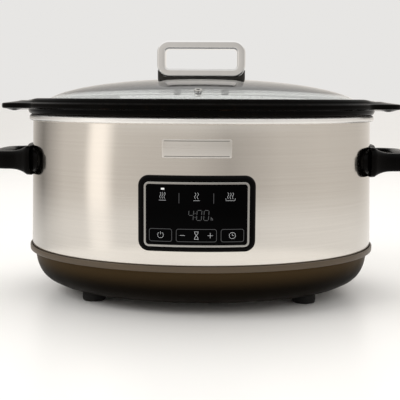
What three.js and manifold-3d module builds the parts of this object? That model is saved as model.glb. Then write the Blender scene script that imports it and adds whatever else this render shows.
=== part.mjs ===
// Oval countertop slow cooker: a brushed-steel heating base with a touch panel, a lift-out
// stoneware pot and a domed glass lid. Millimetres, +Z up, +X along the long axis, the touch
// panel faces -Y, and the origin is on the table under the middle of the base.
import * as THREE from "three";
import { mergeVertices } from "three/addons/utils/BufferGeometryUtils.js";
import Module from "manifold-3d";

const wasm = await Module();
wasm.setup();

// ---------------------------------------------------------------- driving dimensions
const OVAL_STEPS = 40; // facets round every oval
const OVAL_INSET = 41; // the half width is this much less than the half length
const OVAL_CORE = 130; // half length under which an oval shrinks towards its centre
const GAP = 0.3; // clearance between pieces that touch

const FOOT_HEIGHT = 9.2;
const FOOT_RADIUS = 12;
const FOOT_X = 109;
const FOOT_Y = 66;

const BASE_FLOOR = 9.5; // underside of the base shell
const BASE_SKIN = 3;
const LIP_TOP = 52; // top edge of the base shell's lip
const LIP_HALF = 187.3;
const PLATE_OPENING = 116; // half length of the hole in the base shell's floor
const PLATE_HALF = 124.2; // half length of the recess that holds the base plate
const PLATE_THICKNESS = 1.6;
const PLATE_SEAT = BASE_FLOOR + 1.9;

const WALL_BOTTOM = 50;
const WALL_TOP = 188.1;
const WALL_BOTTOM_HALF = 185;
const WALL_TOP_HALF = 181.5;
const SHEET = 1; // thickness of the outer wall's steel

const RIM_HALF = 185.3;
const RIM_SKIRT = 184.8; // lower edge of the trim rim
const RIM_TOP = 191.3;
const RIM_SHEET = 1.4;
const RIM_OPENING = 172.5;

const LINER_FLOOR = 50;
const LINER_SHEET = 1.2;
const LINER_TOP_HALF = 170.4;
const LINER_KNEE_HALF = 158.6; // where the tapered side meets the rounded corner
const LINER_KNEE = 66;
const LINER_SHOULDER = 180;

const HEATER_LOW = 68;
const HEATER_HIGH = 100;
const HEATER_THICKNESS = 3;
const STRAP_WIDTH = 8;
const STRAP_THICKNESS = 0.8;

const SHIELD_FLOOR = 40;
const SHIELD_SHEET = 1;

const PANEL_Z = 102; // middle of the touch panel
const PANEL_WIDTH = 110;
const PANEL_HEIGHT = 71.3;
const PANEL_CORNER = 10;
const PANEL_PROUD = 4.5; // how far the bezel stands out from the wall
const TRIM_WIDTH = 99.2;
const TRIM_HEIGHT = 61.2;
const TRIM_CORNER = 5;
const TRIM_BAND = 2;
const TRIM_Z = PANEL_Z - 0.5;
const WINDOW_DEPTH = 1.8; // thickness of the touch glass and of the trim's seat
const CUTOUT_WIDTH = 84; // hole in the outer wall behind the panel
const CUTOUT_HEIGHT = 46;

const BADGE_Z = 162.3;
const BADGE_WIDTH = 65;
const BADGE_HEIGHT = 17.4;

const HANDLE_Z = 143.5;
const HANDLE_REACH = 226; // outer face of the grip, from the middle
const HANDLE_HALF = 52; // half length of the grip along Y
const GRIP_HEIGHT = 19;
const GRIP_THICKNESS = 15;
const PAD_HALF = 57; // half length of the pad against the wall
const PAD_HEIGHT = 32;
const PAD_PROUD = 5.5;
const HANDLE_SCREW_Y = 44.5;

const GLAND_Z = 31;
const GLAND_REACH = 149; // outer face of the cord gland, from the middle
const GLAND_SEAT = 141; // flat face of the base shell that the gland is pulled up against
const GLAND_BORE = 4.4;

const POT_FLOOR = 55.5; // underside of the pot's foot ring
const POT_TOP = 208;
const LID_SEAT = 199.2;
const EAR_REACH = 215;
const EAR_HALF = 56;

const DOME_HALF = 170; // half length and rise of the arc that the lid's dome follows
const DOME_RATIO = 129 / 170; // half width over half length of the dome
const DOME_BASE = 199.5;
const DOME_RISE = 30;
const GLASS = 3.8;
const GLASS_EDGE = 166.5;
const VENT_Y = -108;

const KNOB_WIDTH = 96;
const KNOB_HEIGHT = 36;
const KNOB_DEPTH = 22;
const KNOB_BASE = 233.5;
const KNOB_BAR = 8;
const KNOB_SCREW_X = 26;

// ---------------------------------------------------------------- materials
const finish = (color, roughness, metalness, more = {}) =>
  new THREE.MeshStandardMaterial({ color, roughness, metalness, ...more });
const MATERIALS = {
  brushedSteel: finish(0xb9b2a8, 0.34, 1),
  polishedSteel: finish(0xd8d6d0, 0.16, 1),
  aluminisedSteel: finish(0x9a9c9c, 0.5, 1),
  zincSteel: finish(0xa9aaa4, 0.4, 1),
  chrome: finish(0xe2e3e4, 0.06, 1),
  stoneware: finish(0x0a0807, 0.12, 0),
  glass: finish(0xdfe6e2, 0.04, 0, { transparent: true, opacity: 0.3 }),
  satinPlastic: finish(0x1c1916, 0.42, 0),
  glossPlastic: finish(0x070707, 0.12, 0),
  touchGlass: finish(0x020203, 0.05, 0),
  rubber: finish(0x0d0d0d, 0.85, 0),
  silicone: finish(0x101010, 0.6, 0),
  heaterCloth: finish(0xc9c3ae, 0.9, 0),
  circuitBoard: finish(0x14502e, 0.45, 0),
  component: finish(0x2b2b30, 0.4, 0),
  wire: finish(0x8a2b1d, 0.5, 0),
};

// ---------------------------------------------------------------- shape helpers
// The half width of the oval whose half length is `half`: a constant inset outside the core,
// easing to nothing at the centre.
function halfWidth(half) {
  const share = Math.min(1, half / OVAL_CORE);
  return half - OVAL_INSET * share * (2 - share);
}

// A closed mesh as a solid that manifold-3d can cut and join. A mesh that is inside out is turned.
function solidOf(geometry) {
  const bare = geometry.index ? geometry.toNonIndexed() : geometry.clone();
  for (const name of Object.keys(bare.attributes)) {
    if (name !== "position") bare.deleteAttribute(name);
  }
  const merged = mergeVertices(bare, 1e-4);
  const build = (triVerts) =>
    new wasm.Manifold(
      new wasm.Mesh({
        numProp: 3,
        vertProperties: merged.attributes.position.array,
        triVerts,
      }),
    );
  const triangles = new Uint32Array(merged.index.array);
  const made = build(triangles);
  if (made.volume() > 0) return made;
  for (let i = 0; i < triangles.length; i += 3) {
    [triangles[i + 1], triangles[i + 2]] = [triangles[i + 2], triangles[i + 1]];
  }
  return build(triangles);
}

// A solid back as a three.js geometry with flat faces.
function geometryOf(solid) {
  const { vertProperties, triVerts } = solid.getMesh();
  const geometry = new THREE.BufferGeometry()
    .setAttribute("position", new THREE.BufferAttribute(new Float32Array(vertProperties), 3))
    .setIndex(new THREE.BufferAttribute(new Uint32Array(triVerts), 1))
    .toNonIndexed();
  geometry.computeVertexNormals();
  return geometry;
}

// A profile of [half length, height] pairs swept round an oval. The profile runs from axis to axis
// or is a loop, which is closed here. `width` gives an oval's half width from its half length.
function ovalSweep(profile, width = halfWidth) {
  const points = profile.map(([half, z]) => new THREE.Vector2(half, z));
  const onAxis = points[0].x === 0 && points.at(-1).x === 0;
  if (!onAxis) points.push(points[0].clone());
  const geometry = new THREE.LatheGeometry(points, OVAL_STEPS).rotateX(Math.PI / 2);
  const place = geometry.attributes.position;
  for (let i = 0; i < place.count; i += 1) {
    const half = Math.hypot(place.getX(i), place.getY(i));
    const squeeze = half > 1e-6 ? width(half) / half : 1;
    place.setY(i, place.getY(i) * squeeze);
  }
  return solidOf(geometry);
}

// A round piece turned about Z from a profile of [radius, height] pairs.
function turned(profile, steps = 20) {
  const points = profile.map(([radius, z]) => new THREE.Vector2(radius, z));
  const onAxis = points[0].x === 0 && points.at(-1).x === 0;
  if (!onAxis) points.push(points[0].clone());
  return solidOf(new THREE.LatheGeometry(points, steps).rotateX(Math.PI / 2));
}

// A box from its lowest to its highest corner.
function block([x0, y0, z0], [x1, y1, z1]) {
  const geometry = new THREE.BoxGeometry(x1 - x0, y1 - y0, z1 - z0);
  return solidOf(geometry.translate((x0 + x1) / 2, (y0 + y1) / 2, (z0 + z1) / 2));
}

// A round bar from `from` to `to`.
function bar(radius, from, to, steps = 14) {
  const start = new THREE.Vector3(...from);
  const run = new THREE.Vector3(...to).sub(start);
  const geometry = new THREE.CylinderGeometry(radius, radius, run.length(), steps);
  geometry.translate(0, run.length() / 2, 0);
  const up = new THREE.Vector3(0, 1, 0);
  geometry.applyQuaternion(new THREE.Quaternion().setFromUnitVectors(up, run.normalize()));
  return solidOf(geometry.translate(...from));
}

// A rectangle with round corners about (0, 0), as a three.js shape.
function roundedRectangle(width, height, corner) {
  const [x, y] = [width / 2 - corner, height / 2 - corner];
  const shape = new THREE.Shape();
  shape.absarc(x, y, corner, 0, Math.PI / 2);
  shape.absarc(-x, y, corner, Math.PI / 2, Math.PI);
  shape.absarc(-x, -y, corner, Math.PI, 1.5 * Math.PI);
  shape.absarc(x, -y, corner, 1.5 * Math.PI, 2 * Math.PI);
  shape.closePath();
  return shape;
}

// A shape drawn on X and Z, pushed along Y from `near` to `far`, with its middle at height z.
function pushedAlongY(shape, near, far, z, curveSegments = 5) {
  const geometry = new THREE.ExtrudeGeometry(shape, {
    depth: far - near,
    bevelEnabled: false,
    curveSegments,
  });
  return solidOf(geometry.rotateX(Math.PI / 2).translate(0, far, z));
}

// A shape drawn on X and Y, pushed up from `low` to `high`.
function pushedUp(shape, low, high, curveSegments = 6) {
  const geometry = new THREE.ExtrudeGeometry(shape, {
    depth: high - low,
    bevelEnabled: false,
    curveSegments,
  });
  return solidOf(geometry.translate(0, 0, low));
}

// An insulated wire or ribbon lead of one radius through a few points.
function lead(points, radius, steps) {
  const curve = new THREE.CatmullRomCurve3(points.map((p) => new THREE.Vector3(...p)));
  const section = new THREE.Shape();
  section.absarc(0, 0, radius, 0, 2 * Math.PI);
  return solidOf(
    new THREE.ExtrudeGeometry(section, { steps, extrudePath: curve, curveSegments: 4 }),
  );
}

function joined(first, ...others) {
  return others.reduce((sum, each) => sum.add(each), first);
}

function cut(solid, ...tools) {
  return tools.reduce((left, tool) => left.subtract(tool), solid);
}

// A named mesh of a solid in a material.
function piece(name, solid, material) {
  const mesh = new THREE.Mesh(geometryOf(solid), material);
  mesh.name = name;
  return mesh;
}

// ---------------------------------------------------------------- the outer wall's surface
// Half length of the wall's outside at a height.
function wallHalf(z) {
  const share = (z - WALL_BOTTOM) / (WALL_TOP - WALL_BOTTOM);
  return WALL_BOTTOM_HALF + (WALL_TOP_HALF - WALL_BOTTOM_HALF) * share;
}

// The oval solid bounded by the wall's outside moved out by `offset`, over the wall's height.
function wallSolid(offset, low = WALL_BOTTOM + 5, high = WALL_TOP - 5) {
  return ovalSweep([
    [0, low],
    [wallHalf(low) + offset, low],
    [wallHalf(high) + offset, high],
    [0, high],
  ]);
}

// The part of `solid` that lies from `inner` to `outer` outside the wall.
function wrappedOn(solid, inner, outer) {
  return cut(solid.intersect(wallSolid(outer)), wallSolid(inner));
}

// X of the wall's outside at y and z.
function wallX(y, z) {
  const half = wallHalf(z);
  return half * Math.sqrt(1 - (y / halfWidth(half)) ** 2);
}

// ---------------------------------------------------------------- housing
function outerWall() {
  const shell = ovalSweep([
    [WALL_BOTTOM_HALF, WALL_BOTTOM],
    [WALL_TOP_HALF, WALL_TOP],
    [WALL_TOP_HALF - SHEET, WALL_TOP],
    [WALL_BOTTOM_HALF - SHEET, WALL_BOTTOM],
  ]);
  const opening = roundedRectangle(CUTOUT_WIDTH, CUTOUT_HEIGHT, 4);
  const screwHoles = PANEL_SCREWS.map(([x, z]) => bar(1.9, [x, -150, z], [x, -125, z]));
  const handleHoles = HANDLE_SCREWS.map((screw) => bar(2.4, ...screwLine(screw, -12, 12)));
  return cut(shell, pushedAlongY(opening, -160, -100, PANEL_Z), ...screwHoles, ...handleHoles);
}

function topRim() {
  const inner = WALL_TOP_HALF + 0.5;
  return ovalSweep([
    [inner, RIM_SKIRT],
    [RIM_HALF - 0.8, RIM_SKIRT],
    [RIM_HALF, RIM_SKIRT + 1],
    [RIM_HALF, RIM_TOP - 1.4],
    [RIM_HALF - 1.4, RIM_TOP],
    [RIM_OPENING, RIM_TOP],
    [RIM_OPENING, RIM_TOP - RIM_SHEET],
    [inner, RIM_TOP - RIM_SHEET],
  ]);
}

// Half length of the liner's outside on its tapered side.
function linerHalf(z) {
  const share = (z - LINER_KNEE) / (LINER_SHOULDER - LINER_KNEE);
  return LINER_KNEE_HALF + (LINER_TOP_HALF - LINER_KNEE_HALF) * share;
}

function heatingLiner() {
  const flangeTop = RIM_TOP - RIM_SHEET - GAP;
  const flangeEdge = WALL_TOP_HALF - 0.1;
  return ovalSweep([
    [0, LINER_FLOOR],
    [142, LINER_FLOOR],
    [151, LINER_FLOOR + 3],
    [156.6, LINER_FLOOR + 8.6],
    [LINER_KNEE_HALF, LINER_KNEE],
    [LINER_TOP_HALF, LINER_SHOULDER],
    [LINER_TOP_HALF + 1.2, flangeTop - LINER_SHEET],
    [flangeEdge, flangeTop - LINER_SHEET],
    [flangeEdge, flangeTop],
    [LINER_TOP_HALF, flangeTop],
    [LINER_TOP_HALF - LINER_SHEET, LINER_SHOULDER],
    [LINER_KNEE_HALF - LINER_SHEET, LINER_KNEE],
    [155.5, LINER_FLOOR + 9.4],
    [150.4, LINER_FLOOR + 4.2],
    [141.8, LINER_FLOOR + LINER_SHEET],
    [0, LINER_FLOOR + LINER_SHEET],
  ]);
}

// A band that hugs the liner's tapered side, from `low` to `high`.
function linerBand(low, high, offset, thickness) {
  return ovalSweep([
    [linerHalf(low) + offset, low],
    [linerHalf(low) + offset + thickness, low],
    [linerHalf(high) + offset + thickness, high],
    [linerHalf(high) + offset, high],
  ]);
}

// A steel strap round the heater, with the two lugs at the back that its screw draws together.
function heaterStrap(z) {
  const offset = 2 * GAP + HEATER_THICKNESS;
  const band = linerBand(z, z + STRAP_WIDTH, offset, STRAP_THICKNESS);
  const back = halfWidth(linerHalf(z) + offset);
  const lug = block([-6, back - 0.4, z + 1], [6, back + 8, z + STRAP_WIDTH - 1]);
  const slit = block([-1.2, back + 1.6, z], [1.2, back + 9, z + STRAP_WIDTH]);
  return cut(joined(band, cut(lug, slit)), linerSolid(offset));
}

// The oval solid inside the liner's outside moved out by `offset`.
function linerSolid(offset) {
  const [low, high] = [LINER_KNEE, LINER_SHOULDER];
  return ovalSweep([
    [0, low],
    [linerHalf(low) + offset, low],
    [linerHalf(high) + offset, high],
    [0, high],
  ]);
}

function heatShield() {
  const [z, t] = [SHIELD_FLOOR, SHIELD_SHEET];
  const dish = ovalSweep([
    [0, z],
    [152, z],
    [165, z + 22],
    [165 - t, z + 22],
    [151.4, z + t],
    [0, z + t],
  ]);
  const leadHoles = [-40, 40].map((x) => bar(6, [x, 88, z - 2], [x, 88, z + 4]));
  return cut(dish, bar(4.5, [0, 0, z - 2], [0, 0, z + 4]), ...leadHoles);
}

// Places on the underside: the four feet, the four posts under the heat shield, the plate's screws.
const corners = (x, y) => [[-x, -y], [x, -y], [-x, y], [x, y]];
const FEET = corners(FOOT_X, FOOT_Y);
const SHIELD_POSTS = corners(112, 49);
const PLATE_SCREWS = [[-120, 0], [120, 0], [0, -78.6], [0, 78.6]];

function baseShell() {
  const ledge = WALL_BOTTOM - GAP;
  const bowl = ovalSweep([
    [PLATE_HALF, BASE_FLOOR],
    [156, BASE_FLOOR],
    [165, 13.2],
    [172.6, 18.6],
    [178.2, 27],
    [181, 38],
    [182.2, 44.6],
    [183.6, 45.6],
    [186.7, 46.4],
    [LIP_HALF, 47.6],
    [LIP_HALF, LIP_TOP - 0.8],
    [LIP_HALF - 0.6, LIP_TOP],
    [WALL_BOTTOM_HALF + 0.6, LIP_TOP],
    [WALL_BOTTOM_HALF + 0.6, ledge],
    [182.6, ledge],
    [179.2, 45],
    [178, 38],
    [175.3, 28],
    [170.6, 21],
    [164, 16.2],
    [155.4, BASE_FLOOR + BASE_SKIN],
    [PLATE_OPENING, BASE_FLOOR + BASE_SKIN],
    [PLATE_OPENING, PLATE_SEAT],
    [PLATE_HALF, PLATE_SEAT],
  ]);
  const floor = BASE_FLOOR + BASE_SKIN;
  const posts = SHIELD_POSTS.map(([x, y]) =>
    bar(5, [x, y, floor - 1], [x, y, SHIELD_FLOOR - GAP]),
  );
  const bosses = PLATE_SCREWS.map(([x, y]) => bar(4, [x, y, floor - 1], [x, y, 20]));
  const glandSeat = bar(13, [0, 128, GLAND_Z], [0, GLAND_SEAT, GLAND_Z], 20);
  const shell = joined(bowl, ...posts, ...bosses, glandSeat);
  const footHoles = FEET.map(([x, y]) => bar(3.6, [x, y, 0], [x, y, 15]));
  const screwHoles = PLATE_SCREWS.map(([x, y]) => bar(1.9, [x, y, 0], [x, y, 18.6]));
  const glandHole = bar(6.6, [0, 120, GLAND_Z], [0, 150, GLAND_Z], 20);
  return cut(shell, ...footHoles, ...screwHoles, glandHole);
}

// Where the power board stands on the base plate.
const BOARD = { x: -62, y: 0, width: 88, depth: 56, low: 19, high: 20.6 };
const BOARD_POSTS = corners(38, 22).map(([x, y]) => [BOARD.x + x, BOARD.y + y]);

function basePlate() {
  const high = BASE_FLOOR + PLATE_THICKNESS;
  const edge = PLATE_HALF - GAP;
  const disc = ovalSweep([[0, BASE_FLOOR], [edge, BASE_FLOOR], [edge, high], [0, high]]);
  const posts = BOARD_POSTS.map(([x, y]) => bar(4, [x, y, high - 0.5], [x, y, BOARD.low - GAP]));
  const plate = joined(disc, ...posts);
  const vents = [];
  for (const x of [46, 58, 70, 82]) {
    vents.push(block([x - 1.5, -20, 5], [x + 1.5, 20, 15]));
  }
  const screwHoles = PLATE_SCREWS.map(([x, y]) => bar(1.9, [x, y, 5], [x, y, 15]));
  const boardHoles = BOARD_POSTS.slice(1, 3).map(([x, y]) => bar(1.5, [x, y, 13], [x, y, 20]));
  return cut(plate, bar(4.5, [0, 0, 5], [0, 0, 15]), ...vents, ...screwHoles, ...boardHoles);
}

// A rubber foot with the barbed stem that snaps through the base shell. Its sole is at z 0.
function foot() {
  const top = BASE_FLOOR + BASE_SKIN;
  return turned([
    [0, 0],
    [FOOT_RADIUS - 1.6, 0],
    [FOOT_RADIUS - 0.4, 1],
    [FOOT_RADIUS, 3],
    [FOOT_RADIUS - 0.6, FOOT_HEIGHT],
    [3.2, FOOT_HEIGHT],
    [3.2, top + GAP],
    [4.6, top + GAP + 0.4],
    [2.4, top + 4],
    [0, top + 4],
  ]);
}

// A pan-head screw along +Z: the head's underside is at z 0 and the shank points up.
function screw(headRadius, headHeight, shankRadius, length) {
  const body = turned(
    [
      [0, -headHeight],
      [headRadius * 0.6, -headHeight],
      [headRadius, -headHeight * 0.45],
      [headRadius, 0],
      [shankRadius, 0],
      [shankRadius, length],
      [0, length],
    ],
    10,
  );
  const slot = 0.28 * headRadius;
  const reach = 0.72 * headRadius;
  const deep = -0.45 * headHeight;
  const cross = joined(
    block([-reach, -slot, -headHeight - 1], [reach, slot, deep]),
    block([-slot, -reach, -headHeight - 1], [slot, reach, deep]),
  );
  return cut(body, cross);
}

function tieRod() {
  const plate = LINER_FLOOR - GAP;
  return turned([[0, 2.6], [2.4, 2.6], [3, 3.4], [3, plate - 2], [13, plate - 2], [13, plate], [0, plate]]);
}

function tieNut() {
  const hexagon = new THREE.CylinderGeometry(6.4, 6.4, 4, 6).rotateX(Math.PI / 2);
  return cut(solidOf(hexagon.translate(0, 0, 5.8)), bar(3.3, [0, 0, 0], [0, 0, 12]));
}

function tieWasher() {
  return turned([[3.4, 8.1], [10, 8.1], [10, BASE_FLOOR - GAP], [3.4, BASE_FLOOR - GAP]]);
}

// ---------------------------------------------------------------- side handles
// The pad against the wall is drawn on Y and Z: straight above and below, pointed at the ends.
function handlePad() {
  const [half, high] = [PAD_HALF, PAD_HEIGHT / 2];
  const flat = half - 13;
  const shape = new THREE.Shape();
  shape.moveTo(-flat, -high);
  shape.lineTo(flat, -high);
  shape.quadraticCurveTo(half - 3, -high * 0.8, half, 0);
  shape.quadraticCurveTo(half - 3, high * 0.8, flat, high);
  shape.lineTo(-flat, high);
  shape.quadraticCurveTo(-half + 3, high * 0.8, -half, 0);
  shape.quadraticCurveTo(-half + 3, -high * 0.8, -flat, -high);
  return shape;
}

// The handle on the +X end: a bowed grip on a pad that follows the wall.
function sideHandle() {
  const root = 150;
  const outer = new THREE.Shape();
  const bend = 24;
  const [x, y] = [HANDLE_REACH - bend, HANDLE_HALF - bend];
  outer.moveTo(root, -HANDLE_HALF);
  outer.lineTo(x, -HANDLE_HALF);
  outer.absarc(x, -y, bend, -Math.PI / 2, 0);
  outer.absarc(x, y, bend, 0, Math.PI / 2);
  outer.lineTo(root, HANDLE_HALF);
  outer.closePath();
  const innerBend = bend - 10;
  const [ix, iy] = [HANDLE_REACH - GRIP_THICKNESS - innerBend, HANDLE_HALF - GRIP_THICKNESS - innerBend];
  const gap = new THREE.Path();
  const start = wallHalf(HANDLE_Z) + PAD_PROUD + 1;
  gap.moveTo(start, -iy - innerBend);
  gap.lineTo(ix, -iy - innerBend);
  gap.absarc(ix, -iy, innerBend, -Math.PI / 2, 0);
  gap.absarc(ix, iy, innerBend, 0, Math.PI / 2);
  gap.lineTo(start, iy + innerBend);
  gap.closePath();
  outer.holes.push(gap);
  const low = HANDLE_Z - GRIP_HEIGHT / 2;
  const grip = pushedUp(outer, low, low + GRIP_HEIGHT);
  const slab = solidOf(
    new THREE.ExtrudeGeometry(handlePad(), { depth: 100, bevelEnabled: false, curveSegments: 4 })
      .rotateX(Math.PI / 2)
      .rotateZ(Math.PI / 2)
      .translate(120, 0, HANDLE_Z),
  );
  const pad = slab.intersect(wallSolid(PAD_PROUD));
  const body = cut(joined(grip, pad), wallSolid(GAP));
  const holes = HANDLE_SCREWS.filter(([side]) => side > 0).map((each) =>
    bar(2.4, ...screwLine(each, -4, 12)),
  );
  return cut(body, ...holes);
}

// The handle's screws as [side of X, side of Y], and the direction of the wall's normal there.
const HANDLE_SCREWS = corners(1, 1);

function screwNormal([sideX, sideY]) {
  const half = wallHalf(HANDLE_Z);
  const x = wallX(HANDLE_SCREW_Y, HANDLE_Z);
  const slope = new THREE.Vector2(x / half ** 2, HANDLE_SCREW_Y / halfWidth(half) ** 2).normalize();
  return new THREE.Vector3(slope.x * sideX, slope.y * sideY, 0);
}

// A point on the screw's line, `along` millimetres outside the wall.
function screwPoint(each, along) {
  const [sideX, sideY] = each;
  const root = new THREE.Vector3(
    wallX(HANDLE_SCREW_Y, HANDLE_Z) * sideX,
    HANDLE_SCREW_Y * sideY,
    HANDLE_Z,
  );
  return root.addScaledVector(screwNormal(each), along);
}

function screwLine(each, from, to) {
  return [screwPoint(each, from).toArray(), screwPoint(each, to).toArray()];
}

// ---------------------------------------------------------------- touch panel
const PANEL_SCREWS = corners(49.5, 29.5).map(([x, z]) => [x, PANEL_Z + z]);

// A prism of a rounded rectangle in front of the wall.
function frontPrism(width, height, corner, z) {
  return pushedAlongY(roundedRectangle(width, height, corner), -160, -110, z);
}

function panelBezel() {
  const body = wrappedOn(frontPrism(PANEL_WIDTH, PANEL_HEIGHT, PANEL_CORNER, PANEL_Z), GAP, PANEL_PROUD);
  const recess = wrappedOn(
    frontPrism(TRIM_WIDTH, TRIM_HEIGHT, TRIM_CORNER, TRIM_Z),
    PANEL_PROUD - WINDOW_DEPTH,
    PANEL_PROUD + 5,
  );
  const screwHoles = PANEL_SCREWS.map(([x, z]) => bar(1.7, [x, -141.2, z], [x, -125, z]));
  const display = pushedAlongY(roundedRectangle(76, 40, 4), -160, -100, PANEL_Z);
  return cut(body, recess, display, ...screwHoles);
}

function panelTrim() {
  const outer = [TRIM_WIDTH - 2 * GAP, TRIM_HEIGHT - 2 * GAP, TRIM_CORNER - GAP];
  const inner = outer.map((size, i) => size - TRIM_BAND * (i < 2 ? 2 : 1));
  const from = PANEL_PROUD - WINDOW_DEPTH + GAP;
  const ring = wrappedOn(frontPrism(...outer, TRIM_Z), from, PANEL_PROUD + 0.4);
  return cut(ring, frontPrism(...inner, TRIM_Z));
}

function touchGlass() {
  const less = 2 * (GAP + TRIM_BAND + GAP);
  const size = [TRIM_WIDTH - less, TRIM_HEIGHT - less, TRIM_CORNER - TRIM_BAND - 2 * GAP];
  const from = PANEL_PROUD - WINDOW_DEPTH + GAP;
  return wrappedOn(frontPrism(...size, TRIM_Z), from, PANEL_PROUD);
}

// The tray behind the wall that holds the control board.
function panelTray() {
  const back = -129;
  const [x, z] = [54, 34];
  const outer = block([-x, -150, PANEL_Z - z], [x, back, PANEL_Z + z]);
  const hollow = block([-46.5, -151, PANEL_Z - 25], [46.5, back - 1.8, PANEL_Z + 25]);
  const holes = PANEL_SCREWS.map(([sx, sz]) => bar(1.7, [sx, -150, sz], [sx, -120, sz]));
  const ribbonSlot = block([-7, -135, PANEL_Z - 40], [7, back - 1.8, PANEL_Z - 20]);
  return cut(outer.intersect(wallSolid(-SHEET - GAP)), hollow, ribbonSlot, ...holes);
}

function controlBoard() {
  return block([-45, -134.2, PANEL_Z - 22], [45, -132.6, PANEL_Z + 22]);
}

function displayModule() {
  return block([-19, -140, PANEL_Z - 8.5], [19, -134.2 - GAP, PANEL_Z + 7.5]);
}

function nameBadge() {
  return wrappedOn(frontPrism(BADGE_WIDTH, BADGE_HEIGHT, 1.8, BADGE_Z), GAP, GAP + 1.2);
}

// ---------------------------------------------------------------- what the base holds inside
function powerBoard() {
  const { x, y, width, depth, low, high } = BOARD;
  const board = block([x - width / 2, y - depth / 2, low], [x + width / 2, y + depth / 2, high]);
  const holes = BOARD_POSTS.slice(1, 3).map(([px, py]) => bar(1.8, [px, py, 15], [px, py, 25]));
  return cut(board, ...holes);
}

// A plain component on the power board, from its middle and its size.
function onBoard([x, y], [width, depth, height]) {
  const low = BOARD.high + GAP;
  return block([x - width / 2, y - depth / 2, low], [x + width / 2, y + depth / 2, low + height]);
}

function transformer() {
  const core = onBoard([-86, -9], [28, 20, 16]);
  const winding = onBoard([-86, -9], [16, 27, 13]);
  return joined(core, winding);
}

function terminalBlock() {
  const body = onBoard([-74, 18], [30, 9, 10]);
  const top = BOARD.high + GAP + 10;
  const wells = [-84, -74, -64].map((x) => bar(2.6, [x, 18, top - 4], [x, 18, top + 2], 10));
  return cut(body, ...wells);
}

function capacitor() {
  const low = BOARD.high + GAP;
  return turned([[0, low], [5, low], [5, low + 13], [4.4, low + 14], [0, low + 14]]);
}

function thermalFuse() {
  const z = HEATER_HIGH + 9;
  const y = halfWidth(linerHalf(z)) + 4;
  return bar(3, [-14, y, z], [14, y, z], 10);
}

function temperatureSensor() {
  const top = LINER_FLOOR - GAP;
  return turned([[0, top - 5], [5.4, top - 5], [5.4, top - 1.2], [9, top - 1.2], [9, top], [0, top]]);
}

// The cable from the power board, under the heat shield's edge and up into the panel's tray.
function displayCable() {
  return lead(
    [
      [-40, -24, 22.8],
      [-36, -44, 25],
      [-20, -84, 27],
      [-4, -116, 31],
      [0, -129, 40],
      [0, -132.8, 56],
      [0, -132.9, 79],
    ],
    1.6,
    16,
  );
}

// A lead from the terminal block, up through the heat shield to the heater's lower edge.
function heaterLead(side) {
  const start = side < 0 ? -84 : -64;
  return lead(
    [
      [start, 18, BOARD.high + 10.8],
      [start + 2, 22, 35.5],
      [start + 22 + 18 * (side + 1), 52, 36],
      [38 * side, 84, 35.5],
      [40 * side, 89, 42.5],
      [40 * side, 103, 45.4],
      [40 * side, 110, 51.6],
      [40 * side, 113.8, 58.2],
      [40 * side, 116.2, 65.6],
    ],
    1.3,
    20,
  );
}

// The gland in the rear of the base, drawn along +Z with the seat it is pulled up against at z 0.
function cordGland() {
  return turned(
    [
      [GLAND_BORE, GLAND_REACH - GLAND_SEAT],
      [6.8, GLAND_REACH - GLAND_SEAT],
      [8.4, 2.8],
      [10.5, 2.8],
      [10.5, GAP],
      [6.2, GAP],
      [6.2, -13.4],
      [8, -14],
      [8, -16.4],
      [GLAND_BORE, -16.4],
    ],
    20,
  );
}

// ---------------------------------------------------------------- stoneware pot
function stonewarePot() {
  const rest = RIM_TOP + GAP;
  const body = ovalSweep([
    [0, POT_FLOOR + 1.5],
    [120, POT_FLOOR + 1.5],
    [122, POT_FLOOR],
    [132, POT_FLOOR],
    [143, 60.5],
    [150.5, 67],
    [153.6, 76],
    [163.8, rest],
    [185.4, rest],
    [186.8, 196.4],
    [190.4, 197.6],
    [191.2, 200],
    [190, 202.6],
    [187.6, 203],
    [186.8, 206.6],
    [184.4, POT_TOP],
    [178.5, POT_TOP],
    [175, 206],
    [173.6, LID_SEAT],
    [162.6, LID_SEAT],
    [158.6, 194],
    [147.4, 82],
    [142, 71],
    [132, 65.6],
    [0, 64.5],
  ]);
  return joined(body, potEar(1), potEar(-1));
}

// A lifting ear on either end: its side outline pushed along Y, its corners rounded in plan.
function potEar(side) {
  const outline = new THREE.Shape();
  outline.moveTo(160, 197.6);
  outline.lineTo(206, 197.6);
  outline.quadraticCurveTo(EAR_REACH, 198, EAR_REACH, 201.2);
  outline.quadraticCurveTo(EAR_REACH, 202.6, 210, 203);
  outline.quadraticCurveTo(196, 204, 184, 206.8);
  outline.lineTo(160, 206.8);
  const slab = pushedAlongY(outline, -EAR_HALF, EAR_HALF, 0, 4);
  const plan = new THREE.Shape();
  const corner = 26;
  plan.moveTo(150, -EAR_HALF - 14);
  plan.quadraticCurveTo(182, -EAR_HALF - 10, 190, -EAR_HALF + 4);
  plan.absarc(EAR_REACH - corner, -EAR_HALF + corner + 8, corner, -Math.PI / 3, 0);
  plan.absarc(EAR_REACH - corner, EAR_HALF - corner - 8, corner, 0, Math.PI / 3);
  plan.quadraticCurveTo(190, EAR_HALF - 2, 150, EAR_HALF + 14);
  plan.closePath();
  const hollow = ovalSweep([[0, 150], [180, 150], [180, 250], [0, 250]]);
  const ear = cut(slab.intersect(pushedUp(plan, 190, 212)), hollow);
  return side > 0 ? ear : ear.mirror([1, 0, 0]);
}

// ---------------------------------------------------------------- lid
// A point on the dome's arc at `angle` from the top, `inside` millimetres under the outside.
function domePoint(angle, inside = 0) {
  return [
    (DOME_HALF - inside) * Math.sin(angle),
    DOME_BASE + (DOME_RISE - inside) * Math.cos(angle),
  ];
}

const domeWidth = (half) => half * DOME_RATIO;

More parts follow.
